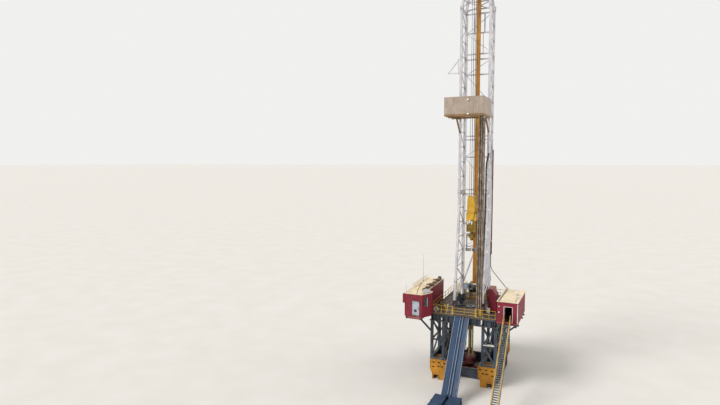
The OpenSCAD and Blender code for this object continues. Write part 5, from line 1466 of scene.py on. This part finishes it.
@dataclass
class FloorMachines(Assembly):
    """Drawworks, cabinets, winch and iron roughneck on the drill floor."""

    finishes = {Paint.HOIST: "drawworks air_winch", Paint.CREAM: "drawworks_cabinet",
                Paint.CRIMSON: "machinery_cabinet", Paint.SLATE: "iron_roughneck"}
    drum: tuple[float, float] = (2.7, 5.17)
    drum_r: float = 0.27
    drum_half: float = 0.55
    # Outer faces of the drum's cheeks and of the brake
    cheek_x: float = 0.64
    brake_x: float = 1.2
    panel_x: tuple[float, float] = (-1.14, -0.34)
    panel_y: float = 2.02
    panel_z: tuple[float, float] = (5.28, 5.62)
    winch_z: float = 0.23

    def make_drawworks_trim(self) -> None:
        """Makes the cheeks' hubs, the brake's bolts, the guard's ribs and louvres, and the rope on the drum."""
        trim, rope, (y, z) = Shape(), Shape(), self.drum
        for x, out in ((-self.cheek_x, -1), (self.cheek_x, 1)):
            trim.turned([(0.16, 0), (0.16, 0.02), (0.09, 0.022), (0.09, 0.05)], (x, y, z), X_AXIS * out)
            trim.bolts(circle((x + out * 0.02, y, z), X_AXIS, 0.13, 8), X_AXIS * out, 0.03)
            trim.bolts(circle((x, y, z), X_AXIS, 0.36, 12), X_AXIS * out, 0.028)
            trim.bolts(circle((x - out * 0.08, y, z), X_AXIS, 0.36, 12), -X_AXIS * out, 0.028)
        trim.bolts(circle((self.brake_x, y, z), X_AXIS, 0.29, 16), X_AXIS, 0.032)
        trim.turned([(0.12, 0), (0.12, 0.03), (0.05, 0.032), (0.05, 0.05)], (self.brake_x, y, z), X_AXIS, 20)
        for x, face in product(steps(-0.9, 1.2, 7), (2.1, 3.3)):
            trim.block((x, face, PLAN.floor + 0.06), (0.03, 0.02, 0.1))
        trim.louvres((0.72, 2.37, 4.72), (1.14, 2.37, 5.12), 8, -Y_AXIS, 0.018)
        trim.make("drawworks_trim", Paint.HOIST, smooth=40)
        for x in steps(-self.drum_half + 0.015, self.drum_half - 0.015, 40):
            rope.hoop((x, y, z), X_AXIS, self.drum_r + 0.008, 0.012, 28, 4)
        rope.make("drawworks_drum_rope", Paint.ROPE, smooth=60)

    def make_control_panel(self) -> None:
        """Makes the pale control panel in front of the drum, with its rail and its dark screen."""
        (left, right), (foot, top), y = self.panel_x, self.panel_z, self.panel_y
        panel = Shape().box((left, y, foot), (right, y + 0.05, top))
        panel.row(2, (foot - 0.02, top + 0.03), (left - 0.02, y - 0.02, -0.02), (right + 0.02, y + 0.05, 0.02))
        panel.row(0, steps(left, right, 4)[1:-1], (-0.004, y - 0.006, foot + 0.02), (0.004, y, top - 0.02))
        for x in (-0.6, -0.95):
            panel.bar((x, y + 0.03, foot + 0.1), (x, 2.4, foot + 0.1), 0.05)
            panel.bar((x, y + 0.03, PLAN.floor), (x, y + 0.03, foot), 0.05)
        panel.make("drawworks_control_panel", Paint.DOOR)
        half, edge = 0.085, ((-1, -1), (1, -1), (1, 1), (-1, 1), (-1, -1))
        screen = Shape(right - 0.16, y - 0.006, (foot + top) / 2).box((-half, 0, -half), (half, 0.006, half))
        for a, b in zip(edge, edge[1:]):
            screen.bar((a[0] * half, -0.004, a[1] * half), (b[0] * half, -0.004, b[1] * half), 0.016)
        screen.make("drawworks_panel_screen", Paint.SLATE)

    def make_cabinet_trim(self) -> None:
        """Makes the doors and louvres of the cream and the red cabinet, the eyes and the hose."""
        low, high = node_box("drawworks_cabinet")
        trim, z0, z1 = Shape(), low.z + 0.06, high.z - 0.05
        for face, out in ((low.x, -1), (high.x, 1)):
            x = face + out * 0.012
            for y in steps(low.y + 0.03, high.y - 0.43, 2):
                trim.box((min(x, face), y, z0), (max(x, face), y + 0.37, z1))
                trim.louvres((x, y + 0.06, low.z + 0.6), (x, y + 0.31, low.z + 0.88), 8, X_AXIS * out, 0.014)
        y = low.y - 0.012
        trim.box((low.x + 0.03, y, z0), (high.x - 0.03, low.y, z1))
        trim.louvres((low.x + 0.1, y, low.z + 0.55), (high.x - 0.1, y, low.z + 0.85), 9, -Y_AXIS, 0.014)
        for x, y in product((low.x + 0.08, high.x - 0.08), (low.y + 0.1, high.y - 0.1)):
            trim.hoop((x, y, high.z + 0.03), Y_AXIS, 0.03, 0.009)
        trim.make("drawworks_cabinet_trim", Paint.CREAM, smooth=40)
        low, high = node_box("machinery_cabinet")
        trim = Shape()
        for x in (low.x + 0.02, (low.x + high.x) / 2 + 0.01):
            trim.box((x, low.y - 0.012, low.z + 0.08), (x + 0.24, low.y, high.z - 0.46))
            trim.box((x + 0.2, low.y - 0.024, low.z + 0.55), (x + 0.215, low.y - 0.012, low.z + 0.68))
        trim.louvres((high.x, low.y + 0.1, low.z + 0.5), (high.x, high.y - 0.1, low.z + 1.05), 11, X_AXIS, 0.018)
        for z in (low.z + 0.02, low.z + 0.46):
            trim.bar((high.x, low.y, z), (high.x, high.y, z), 0.014, 0.03)
        trim.make("machinery_cabinet_trim", Paint.CRIMSON)
        route = ((0, 6.0), (-0.04, 5.85), (-0.05, 5.6), (0.02, 5.35), (0.1, 5.15), (0.12, 4.95), (0.12, 4.56))
        hose = Shape(low.x + 0.02, low.y - 0.03).tube([(x, 0, z) for x, z in route], 0.022)
        hose.make("machinery_cabinet_hose", Paint.BLACK_HOSE, smooth=50)

    def make_roughneck_arms(self) -> None:
        """Makes the spinner's rollers, the wrench jaws and the guide posts of the iron roughneck."""
        low, high = node_box("iron_roughneck")
        cx, cy, arms = (low.x + high.x) / 2, (low.y + high.y) / 2, Shape(z=PLAN.floor)
        for s in BOTH:
            arms.rod((cx + s * 0.2, cy - 0.2, 0.06), (cx + s * 0.2, cy - 0.2, 0.88), 0.018)
            arms.prism([(high.x - 0.15, cy + s * 0.06, 0.38), (high.x - 0.15, cy + s * 0.23, 0.38),
                        (high.x - 0.03, cy + s * 0.23, 0.38), (high.x, cy + s * 0.12, 0.38)], (0, 0, 0.16))
            arms.turned([(0.05, 0), (0.05, 0.12), (0.02, 0.125), (0.02, 0.15)],
                        (high.x - 0.06, cy + s * 0.11, 0.66), UP, 16)
            arms.turned([(0.045, 0), (0.05, 0.02), (0.05, 0.16), (0.03, 0.18)], (cx, cy + s * 0.12, 0.82), UP, 16)
        arms.bar((cx - 0.22, cy - 0.2, 0.88), (cx + 0.22, cy - 0.2, 0.88), 0.04)
        arms.bolts([(low.x + dx, low.y + dy, 0.06) for dx, dy in product((0.04, 0.48), repeat=2)], UP, 0.036)
        arms.make("roughneck_arms", Paint.SLATE, smooth=40)

    def make_winch_trim(self) -> None:
        """Makes the rims, the motor's end, the lever and the rope of the air winch."""
        low, high = node_box("air_winch")
        trim, rope = (Shape(low.x, (low.y + high.y) / 2, PLAN.floor + self.winch_z) for _ in range(2))
        for x in (0, 0.04, 0.4, 0.44):
            trim.hoop((x, 0, 0), X_AXIS, 0.17, 0.01)
        trim.turned([(0.07, 0), (0.07, 0.012), (0.03, 0.014)], (high.x - low.x - 0.012, 0, 0), X_AXIS, 18)
        trim.bolts([(x, s * 0.12, 0.04 - self.winch_z) for x in (0.1, 0.34) for s in BOTH], UP, 0.026)
        trim.rod((0.1, -0.13, 0.12), (0.1, -0.2, 0.24), 0.012).make("air_winch_trim", Paint.HOIST, smooth=40)
        for x in steps(0.055, 0.385, 12):
            rope.hoop((x, 0, 0), X_AXIS, 0.136, 0.013, 24, 4)
        rope.make("air_winch_rope", Paint.ROPE, smooth=60)


@dataclass
class Mast(Assembly):
    """Lattice mast on its pedestals."""

    finishes = {
        Paint.SHOE: "mast_shoes", Paint.OCHRE: "guide_beam", Paint.RED_HOSE: "standpipe",
        Paint.MAST: "mast_lower_left mast_lower_right mast_lower_back mast_upper_left mast_upper_right "
                    "mast_upper_back crown_section leg_side_plate davit_brackets davit"}
    lower_panels: int = 7
    upper_panels: int = 12
    plate: float = 0.01
    gusset: float = 0.2
    pin: Profile = ((0.04, 0), (0.04, 0.012), (0.026, 0.013), (0.026, 0.04))
    leg_joint: float = 6.3
    # Girts across the back, as shares of the lower and of the upper mast
    lower_girts: tuple[float, ...] = (0.503, 0.619, 0.71, 0.826)
    upper_girts: tuple[float, ...] = (0.196, 0.294, 0.314, 0.49, 0.655, 0.739, 0.768, 0.882)
    ladder_half: float = 0.1
    lamp_z: tuple[float, ...] = (8.42, 9.9, 11.2, 12.1, 13.2, 14.05)
    tugger: tuple[float, float, float] = (-0.52, -0.36, 5.45)
    shoe_pin: float = 4.83

    def make_gussets(self) -> None:
        """Makes the plates and bolts where the lacing meets the chords of both sides."""
        plates, half, thin = Shape(), self.gusset / 2, self.plate
        runs = (steps(PLAN.leg_foot + 0.25, PLAN.lower_top - 0.075, self.lower_panels),
                steps(PLAN.lower_top + 0.075, PLAN.upper_top - 0.075, self.upper_panels))
        # Every second joint is on the back chord; the chord without a joint has a smaller plate
        joints = [(z, i % 2 == 1) for run in runs for i, z in enumerate(run)]
        for (z, back), rear, face in product(joints, (False, True), BOTH):
            reach, way = half * (1.0 if rear == back else 0.6), -1 if rear else 1
            edge = PLAN.mast_back - 0.075 if rear else PLAN.front_chord(z) + 0.076
            tilt = 0.0 if rear else PLAN.front_chord(z + half) - PLAN.front_chord(z)
            x, tip = PLAN.mast_half + face * 0.025, edge + way * reach
            plates.prism([(x, edge - tilt, z - reach), (x, tip, z - 0.04), (x, tip, z + 0.04),
                          (x, edge + tilt, z + reach)], (face * thin, 0, 0))
            plates.bolts([(x + face * thin, edge + way * 0.03, z + s * 0.05) for s in BOTH], X_AXIS * face, 0.02)
        plates.mirrored().make("mast_gussets", Paint.MAST)

    def make_section_joints(self) -> None:
        """Makes the bolted collars and pin lugs where the mast's sections meet."""
        collars = Shape()
        joints = [(self.leg_joint, PLAN.front_chord(self.leg_joint)), (self.leg_joint, PLAN.mast_back)]
        for z, y in (*joints, *product((PLAN.lower_top, PLAN.upper_top), (PLAN.mast_front, PLAN.mast_back))):
            for dz in (-0.03, 0.012):
                collars.block((PLAN.mast_half, y, z + dz), (0.21, 0.21, 0.018))
            for face in BOTH:
                x = PLAN.mast_half + face * 0.086
                collars.block((x, y, z), (0.022, 0.11, 0.34))
                for dz in (0.1, -0.1):
                    collars.turned(self.pin, (x + face * 0.011, y, z + dz), X_AXIS * face, 12)
        collars.mirrored().make("mast_section_joints", Paint.MAST, smooth=40)

    def make_girt_plates(self) -> None:
        """Makes the end plates of the girts, and the bolts and ribs on the right leg's side plate."""
        plates, x, y = Shape(), PLAN.mast_half, PLAN.mast_back
        rows = [PLAN.floor + share * (PLAN.lower_top - PLAN.floor) for share in self.lower_girts]
        rows += [PLAN.lower_top + share * (PLAN.upper_top - PLAN.lower_top) for share in self.upper_girts]
        for z in (*rows, PLAN.lower_top - 0.15, PLAN.lower_top + 0.15, PLAN.upper_top - 0.15):
            plates.block((x - 0.083, y, z), (0.014, 0.13, 0.15))
            for way in BOTH:
                plates.bolts([(x - 0.15, y + way * 0.045, z + s * 0.025) for s in BOTH], Y_AXIS * way, 0.02)
        plates.mirrored().make("mast_girt_plates", Paint.MAST)
        ribs = Shape(part("leg_side_plate", 0, 0) + 0.012)
        for z in steps(6.4, 12.0, 14):
            y0, y1 = PLAN.front_chord(z) + 0.06, y - 0.12
            ribs.bolts([(0, y0, z), (0, y1, z)], X_AXIS, 0.03)
            ribs.bar((0.006, y0 + 0.06, z), (0.006, y1 - 0.06, z), 0.03, 0.012, side=X_AXIS)
        ribs.make("leg_side_plate_ribs", Paint.MAST)

    def make_ladder(self) -> None:
        """Makes the ladder behind the left back chord, with its rail for a fall arrester."""
        foot, head, half = PLAN.floor + 0.3, PLAN.crown - 2.2, self.ladder_half
        ladder = Shape(-PLAN.mast_half, PLAN.mast_back + 0.13)
        for x in (-half, half):
            ladder.bar((x, 0, foot), (x, 0, head), 0.02, 0.03, side=Y_AXIS)
        for z in steps(foot + 0.1, head - 0.1, int((head - foot) / 0.15)):
            ladder.rod((-half, 0, z), (half, 0, z), 0.007, 6)
        ladder.bar((0, 0.014, foot), (0, 0.014, head), 0.02, 0.014)
        for z in steps(foot + 0.3, head - 0.3, 12):
            ladder.bar((-0.06, -0.06, z), (-0.06, 0, z), 0.02).bar((0.06, -0.06, z), (0.06, 0, z), 0.02)
            ladder.bar((-half, 0, z), (half, 0, z), 0.02)
        ladder.make("mast_ladder", Paint.GRATING, smooth=50)

    def make_lamps(self) -> None:
        """Makes the floodlights on the right leg and under the racking board."""
        housing, lens, x = Shape(), Shape(), PLAN.mast_half + 0.12
        for z in self.lamp_z:
            y = PLAN.front_chord(z) - 0.05
            housing.block((x, y, z), (0.09, 0.09, 0.11)).bar((x - 0.05, y + 0.04, z), (x, y + 0.04, z), 0.02)
            lens.box((x - 0.04, y - 0.06, z - 0.045), (x + 0.04, y - 0.045, z + 0.045))
        z = PLAN.board_top - 0.17
        for x, y in product((-1.12, 1.12), (-1.1, -2.0)):
            housing.block((x, y, z), (0.12, 0.12, 0.05))
            lens.box((x - 0.05, y - 0.05, z - 0.036), (x + 0.05, y + 0.05, z - 0.025))
        housing.make("floodlight_housings", Paint.WHITE, bevel=0.006)
        lens.make("floodlight_lenses", Paint.LENS)

    def make_hoses(self) -> None:
        """Makes the hose bundle strapped down the right leg's inner front edge and the reddish air line beside it."""
        half = PLAN.mast_half
        path = [(half - 0.1, PLAN.front_chord(z) - 0.08, z) for z in steps(6.75, 13.9, 20)]
        path += [(half + x, PLAN.mast_front - 0.12, z) for x, z in ((-0.08, 14.25), (-0.02, 14.6), (0.08, 14.95))]
        hose = Shape().tube(path, 0.045, 10).turned([(0.045, 0), (0.045, 0.02), (0.015, 0.15)], path[0], -UP, 10)
        for x, y, z in path[1::3]:
            hose.block((x + 0.02, y + 0.01, z), (0.12, 0.11, 0.03))
        hose.make("leg_hose_bundle", Paint.BLACK_HOSE, smooth=50)
        path = [(half - 0.15, PLAN.front_chord(z) - 0.06, z) for z in steps(8.5, 12.2, 12)]
        line = Shape().tube(path, 0.022)
        for x, y, z in path[1::3]:
            line.block((x + 0.04, y + 0.01, z), (0.13, 0.06, 0.024))
        line.make("leg_air_line", Paint.RED_HOSE, smooth=50)

    def make_tugger(self) -> None:
        """Makes the tugger's taut line from the crown, its white weight with the hook, and the yellow tie."""
        x, y, foot = self.tugger
        rope = Shape(x, y).rod((0, 0, foot + 0.4), (0, 0, PLAN.crown), 0.009, 6)
        rope.hoop((0, 0, foot - 0.1), X_AXIS, 0.045, 0.013).make("tugger_line", Paint.ROPE, smooth=60)
        weight = Shape(*self.tugger).turned([(0.03, -0.05), (0.05, 0), (0.1, 0.04), (0.1, 0.12), (0.05, 0.3),
                                             (0.02, 0.42)], sides=20)
        weight.make("tugger_weight", Paint.WHITE, smooth=40)
        Shape(0.25, 1.45).rod((0, 0, 21.7), (0, 0, 23.1), 0.02).make("yellow_girt_tie", Paint.RAIL, smooth=50)

    def make_joints_and_pins(self) -> None:
        """Makes the guide beam's bolts and joint plates, and the bolts and pins of the mast's shoes."""
        guide, shoes, foot, x, z = Shape(), Shape(), part("guide_beam", 0, 2), PLAN.mast_half, self.shoe_pin
        rows = steps(foot + 0.4, PLAN.crown - 0.4, 22)
        guide.bolts([(side, 1.075, row) for side in (-0.11, 0.11) for row in rows], -Y_AXIS, 0.026)
        for row in steps(foot + 3.0, PLAN.crown - 3.0, 5):
            guide.block((0, 1.15, row), (0.275, 0.16, 0.03))
        guide.make("guide_beam_joints", Paint.OCHRE)
        for y in (PLAN.foot_front, PLAN.mast_back):
            shoes.bolts([(x + dx, y + dy, PLAN.floor + 0.06) for dx, dy in product((-0.16, 0.16), repeat=2)], UP, 0.04)
            shoes.rod((x - 0.14, y, z), (x + 0.14, y, z), 0.04)
            shoes.turned([(0.07, 0), (0.07, 0.02)], (x + 0.13, y, z), X_AXIS, 16)
        shoes.mirrored().make("mast_shoe_pins", Paint.STEEL, smooth=40)


@dataclass
class RackingBoard(Assembly):
    """Racking board with its wind walls and the stands of pipe."""

    finishes = {Paint.BOARD: "racking_board board_fingers", Paint.SCREEN: "wind_walls"}
    half: float = 1.23
    walk_half: float = 0.18
    front: float = -2.8
    rear: float = -0.5
    wall_h: float = 1.05
    pipe: float = 0.045
    tool_joint: float = 0.057
    pipe_rows: tuple[float, ...] = (0.735, 0.865, 0.995)

    def make_grating(self) -> None:
        """Makes the walkway's grating with its rails, and the latches at the fingers' roots."""
        (low, high), walk = node_box("board_fingers"), self.walk_half
        grating, latches = Shape(z=PLAN.board_top), Shape(z=PLAN.board_top)
        grating.row(1, steps(self.front + 0.12, self.rear - 0.12, 50), (-walk, -0.004, 0), (walk, 0.004, 0.006))
        grating.row(0, (0.006 - walk, walk - 0.006), (-0.006, self.front + 0.1, 0), (0.006, self.rear - 0.1, 0.02))
        grating.make("board_grating", Paint.GRATING)
        for y in steps(low.y + 0.0225, high.y - 0.0225, 12):
            latches.row(0, steps(0.34, 0.98, 4), (0, y - 0.012, 0), (0.07, y + 0.012, 0.025))
            latches.rod((0.2, y, 0.018), (0.31, y, 0.018), 0.012, 6)
        latches.mirrored().make("board_latches", Paint.BOARD, smooth=40)

    def make_wall_ribs(self) -> None:
        """Makes the posts and rails that stiffen the wind walls, the panels' seams, and the lamps."""
        ribs, lamp, lens = (Shape(z=PLAN.board_top) for _ in range(3))
        half, top, middle, y = self.half, self.wall_h, self.wall_h / 2, self.front
        spots = [(x, y + 0.04) for x in steps(-half + 0.03, half - 0.03, 4)]
        spots += product((0.04 - half, half - 0.04), steps(y + 0.1, self.rear - 0.03, 4))
        for spot in spots:
            ribs.bar((*spot, 0), (*spot, top), 0.04)
        for z in (top - 0.02, middle):
            ribs.bar((-half, y + 0.035, z), (half, y + 0.035, z), 0.03)
            for x in (0.035 - half, half - 0.035):
                ribs.bar((x, y, z), (x, self.rear, z), 0.03)
        ribs.bar((-half, y - 0.002, top - 0.02), (half, y - 0.002, top - 0.02), 0.006, 0.04)
        for x in steps(-half, half, 4)[1:-1]:
            ribs.block((x, y, middle), (0.03, 0.006, top - 0.08))
        ribs.make("wind_wall_ribs", Paint.SCREEN)
        for x, z in ((0.26, 0.85), (0.27, -0.02)):
            lamp.block((x, y - 0.04, z), (0.12, 0.05, 0.09))
            lens.box((x - 0.05, y - 0.07, z - 0.035), (x + 0.05, y - 0.06, z + 0.035))
        lamp.make("wind_wall_lamps", Paint.WHITE, bevel=0.006)
        lens.make("wind_wall_lenses", Paint.LENS)

    def make_racked_pipe(self) -> None:
        """Makes the racked stands, each with its tool joints at the ends and at the thirds."""
        low, high = node_box("pipe_stands")
        stands, r, joint, rise = Shape(z=low.z), self.pipe, self.tool_joint, (high.z - low.z - 0.18) / 3
        profile = [(joint * 0.8, 0)]
        for foot in (i * rise for i in range(4)):
            profile += [(joint, foot + 0.02), (joint, foot + 0.15), (r, foot + 0.18), (r, foot + rise)]
        # The top joint has no pipe over it
        for x, y in product(self.pipe_rows, steps(low.y + r, high.y - r, 2)):
            stands.turned(profile[:-1], (x, y, 0), UP, 14)
        # The photo shows three rows of stands; the frame's solid stays for collision
        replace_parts(stands.make("racked_pipe", Paint.PIPE, smooth=40), "pipe_stands")


@dataclass
class Crown(Assembly):
    """Crown block with its platform."""

    finishes = {Paint.MAST: "crown_block"}
    bearing: tuple[float, float] = (0.62, 0.32)
    deck: float = 0.285
    deck_half: float = 0.7
    toe_boards: tuple[float, float] = (-0.75, 0.742)

    def make_deck(self) -> None:
        """Makes the ends of the sheaves' shaft, the grating's bars and the toe boards."""
        (low, high), (x, z), deck, half = node_box("crown_block"), self.bearing, self.deck, self.deck_half
        gear = Shape(z=PLAN.crown).turned([(0.1, 0), (0.1, 0.03), (0.05, 0.032), (0.05, 0.05)], (x, 0, z), X_AXIS, 20)
        gear.bolts(circle((x + 0.03, 0, z), X_AXIS, 0.078, 8), X_AXIS).mirrored()
        gear.row(1, steps(low.y + 0.08, -0.34, 2) + steps(0.4, high.y - 0.06, 26), (-half, -0.004, deck),
                 (half, 0.004, deck + 0.006))
        gear.make("crown_bearings_and_grating", Paint.GRATING, smooth=35)
        boards = Shape(z=PLAN.crown).row(0, self.toe_boards, (0, low.y, deck), (0.008, high.y, deck + 0.09))
        boards.make("crown_toe_boards", Paint.RAIL)


@dataclass
class Hoist(Assembly):
    """Travelling block, top drive and links, which run up and down the mast."""

    finishes = {Paint.BLOCK: "travelling_block", Paint.HOIST: "top_drive", Paint.STEEL: "pipe_links"}
    low: float = 9.7
    high: float = 11.0
    half: float = 0.31
    front: float = -0.28
    block_foot: float = 11.25
    cheek: float = 0.23
    line: float = 0.012
    guard_y: float = -0.352
    guard: Profile = ((0.1, 12.12), (0.19, 12.03), (0.235, 11.8), (0.24, 11.3), (0.21, 10.85), (0.15, 10.6),
                      (0.08, 10.52))
    head: tuple[float, float] = (10.46, 10.94)
    cylinder: Profile = ((0.02, 0), (0.042, 0.02), (0.048, 0.05), (0.048, 0.2), (0.042, 0.23), (0.02, 0.25))
    tackle: tuple[float, float, float] = (0.06, -0.19, 8.38)
    shackle: Profile = ((0.03, 0), (0.055, 0.01), (0.055, 0.05), (0.038, 0.06), (0.038, 0.17), (0.055, 0.18),
                        (0.055, 0.22), (0.03, 0.23))

    def make_drive_trim(self) -> None:
        """Makes the top drive's covers, motor, ribs and bolts."""
        trim, y, low, high = Shape(), self.front, self.low, self.high
        trim.box((0.02, y - 0.014, low + 0.7), (0.29, y, high - 0.05))
        trim.louvres((0.05, y - 0.014, low + 0.85), (0.26, y - 0.014, high - 0.12), 8, -Y_AXIS, 0.012)
        trim.row(1, (-0.2, 0, 0.2), (self.half - 0.01, -0.015, low + 0.05), (self.half + 0.01, 0.015, low + 1.25))
        trim.turned([(0.1, 0), (0.1, 0.016), (0.06, 0.018)], (self.half + 0.01, 0.1, high - 0.25), X_AXIS, 20)
        for z in (low + 0.2, high - 0.2):
            trim.turned([(0.05, 0), (0.05, 0.035)], (0.18, 1.12, z), X_AXIS, 16)
        trim.mirrored()
        cover = product((-0.27, -0.04, 0.04, 0.27), (low + 0.73, high - 0.07))
        trim.bolts([(x, y - 0.014, z) for x, z in cover], -Y_AXIS, 0.022)
        trim.turned([(0.2, 0), (0.2, 0.02), (0.16, 0.021), (0.16, 0.04)], (0, y, low + 0.35), -Y_AXIS, 28)
        trim.bolts(circle((0, y - 0.03, low + 0.35), Y_AXIS, 0.18, 12), -Y_AXIS, 0.026)
        trim.turned([(0.24, 0), (0.24, 0.03), (0.225, 0.032)], (0, 0, low - 0.26), UP, 28)
        trim.bolts(circle((0, 0, low - 0.16), UP, 0.18, 14), UP, 0.03)
        trim.turned([(0.13, 0), (0.13, 0.05)], (0, 0, high)).make("top_drive_trim", Paint.HOIST, "hoist", smooth=35)

    def make_block_trim(self) -> None:
        """Makes the block's bolts and its shaft's ends, and the yellow guard down to the top drive's head."""
        trim, foot, x = Shape(), self.block_foot, self.cheek
        trim.turned([(0.09, 0), (0.09, 0.015), (0.06, 0.018), (0.06, 0.035)], (x, 0, foot + 0.45), X_AXIS, 20)
        marks = product(((0.1, 0.08), (0.24, 0.32), (0.24, 0.6), (0.1, 0.82)), BOTH)
        trim.bolts([(x, s * y, foot + z) for (y, z), s in marks], X_AXIS, 0.03).mirrored()
        trim.make("travelling_block_trim", Paint.BLOCK, "hoist", smooth=35)
        guard, y, front, (z0, z1) = Shape(), self.guard_y, self.front, self.head
        for z in (11.35, 11.95):
            guard.block((0.205, y / 2 - 0.16, z), (0.02, 0.06, 0.1))
        guard.box((0.3, front - 0.02, z0), (0.322, 0.2, z1)).box((0.1, front - 0.03, z0), (0.322, front - 0.014, z1))
        edge = [(x, y, z) for x, z in self.guard] + [(-x, y, z) for x, z in reversed(self.guard)]
        guard.mirrored().prism(edge, (0, 0.012, 0))
        for a, b in zip(edge, edge[1:] + edge[:1]):
            guard.bar((a[0], y - 0.006, a[2]), (b[0], y - 0.006, b[2]), 0.02, 0.024, side=Y_AXIS)
        for z, half in ((10.95, 0.2), (11.45, 0.2), (11.95, 0.185)):
            guard.bar((-half, y - 0.006, z), (half, y - 0.006, z), 0.016, 0.03)
            guard.bolts([(x, y, z + 0.09) for x in (0.03 - half, half - 0.03)], -Y_AXIS, 0.026)
        guard.make("travelling_block_guard", Paint.BLOCK, "hoist")

    def make_white_parts(self) -> None:
        """Makes the pale cylinders in front of the top drive's head and the tackle in front of the elevator."""
        parts, y, tackle = Shape(), self.front - 0.05, Shape(*self.tackle)
        for x, z in ((-0.19, 10.19), (-0.06, 10.27), (0.07, 10.19)):
            parts.turned(self.cylinder, (x, y, z), UP, 16)
            for rise in (0.07, 0.17):
                parts.bar((x - 0.055, y + 0.02, z + rise), (x + 0.055, y + 0.02, z + rise), 0.08, 0.02)
        parts.make("top_drive_cylinders", Paint.WHITE, "hoist", smooth=40)
        for rise in (0, 0.25):
            tackle.turned(self.shackle, (0, 0, rise), UP, 16)
        tackle.rod((0, 0, 0.2), (0, 0, 0.27), 0.025).rod((0, 0, 0.1), (0, 0.09, 0.1), 0.02, 8)
        tackle.make("lifting_tackle", Paint.WHITE, "links", smooth=40)

    def make_elevator_trim(self) -> None:
        """Makes the elevator's hinge and latch, and the collars of the links."""
        trim = Shape(z=part("pipe_links", 0, 2))
        for side in BOTH:
            trim.hoop((side * 0.33, 0, 0.2), UP, 0.042, 0.012).hoop((side * 0.33, 0, 0.9), UP, 0.038, 0.01)
            trim.rod((side * 0.15, -0.12, 0.01), (side * 0.15, -0.12, 0.16), 0.018)
            trim.bolts([(side * x, -0.11, 0.085) for x in (0.22, 0.3)], -Y_AXIS, 0.03)
        trim.block((0, -0.118, 0.085), (0.1, 0.03, 0.1)).make("elevator_trim", Paint.STEEL, "links", smooth=40)

    def make_reeved_lines(self) -> None:
        """Makes the drilling lines, whose lower ends go up and down with the block."""
        (low, high), shape, r = node_box("drilling_lines"), Shape(), self.line
        for x, y in product((low.x + r, 0, high.x - r), (low.y + r, high.y - r)):
            shape.rod((x, y, low.z), (x, y, high.z), r, 10)
        lines = shape.make("reeved_lines", Paint.ROPE, None, smooth=60)
        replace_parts(lines, "drilling_lines")
        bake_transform(lines)


@dataclass
class Studio:
    """Floor, light and camera."""

    focal_mm: float = 26.0
    sensor_mm: float = 36.0
    stand: Place = (7.7, -34.75, 14.3)
    heading: Place = (-0.418, 0.9085, 0)
    dip: float = 4.344
    floor_half: float = 4000.0
    # Name, strength, angle across and turns about X, Y and Z of each lamp
    lamps: tuple[tuple, ...] = (("key", 2.2, 25, (48, 0, -38)), ("fill", 0.7, 60, (55, 0, 120)))
    # The world's level on the rig, and the level that the camera and reflections see
    levels: tuple[float, float] = (0.62, 0.95)

    def camera(self) -> None:
        """Places the camera where the photo was taken from."""
        lens = bpy.data.cameras.new("camera")
        lens.lens, lens.sensor_width = self.focal_mm, self.sensor_mm
        lens.clip_end = 9000
        made = add_object("camera", lens)
        made.location = WELL + Vector(self.stand)
        dip = math.radians(self.dip)
        ahead = Vector(self.heading).normalized() * math.cos(dip) - UP * math.sin(dip)
        made.rotation_euler = ahead.to_track_quat("-Z", "Y").to_euler()
        bpy.context.scene.camera = made

    def floor(self) -> None:
        """Lays a plain pale floor under the rig."""
        mesh = bpy.data.meshes.new("studio_floor")
        half = self.floor_half
        mesh.from_pydata([(-half, -half, 0), (half, -half, 0), (half, half, 0), (-half, half, 0)], [], [(0, 1, 2, 3)])
        mesh.materials.append(StudioPaint().material())
        made = add_object("studio_floor", mesh)
        made.location.z = -0.002

    def light(self) -> None:
        """Hangs a wide soft key and fill, and a pale world that the camera sees as near white."""
        for name, energy, angle, turns in self.lamps:
            lamp = bpy.data.lights.new(name, "SUN")
            lamp.energy, lamp.angle = energy, math.radians(angle)
            add_object(name, lamp).rotation_euler = [math.radians(turn) for turn in turns]
        world = bpy.data.worlds.new("studio")
        world.use_nodes = True
        bpy.context.scene.world = world
        tree = world.node_tree
        sky = tree.nodes["Background"]
        rays = add_node(tree, "ShaderNodeLightPath").outputs
        seen = rays["Is Camera Ray"]
        for ray in ("Is Glossy Ray", "Is Transmission Ray"):
            seen = add_node(tree, "ShaderNodeMath", {0: seen, 1: rays[ray]}, operation="MAXIMUM").outputs[0]
        rig, backdrop = self.levels
        level = add_node(tree, "ShaderNodeMapRange", {"Value": seen, "To Min": rig, "To Max": backdrop})
        sky.inputs["Color"].default_value = linear("#f6f6f4")
        tree.links.new(level.outputs[0], sky.inputs["Strength"])
        bpy.context.scene.view_settings.view_transform = "Standard"


def main() -> None:
    """Places the camera, builds the classes in order, and lays the floor and the light."""
    logging.basicConfig(level=logging.INFO, format="%(message)s")
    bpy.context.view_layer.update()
    studio = Studio()
    studio.camera()
    for assembly in (CabinCable, Substructure, WalkingPods, Wellhead, DrillFloor, Ramp, Catwalk, Stair, Doghouse,
                     StairCabin, FloorMachines, Mast, RackingBoard, Crown, Hoist):
        assembly().build()
    studio.floor()
    studio.light()


if __name__ == "__main__":
    main()
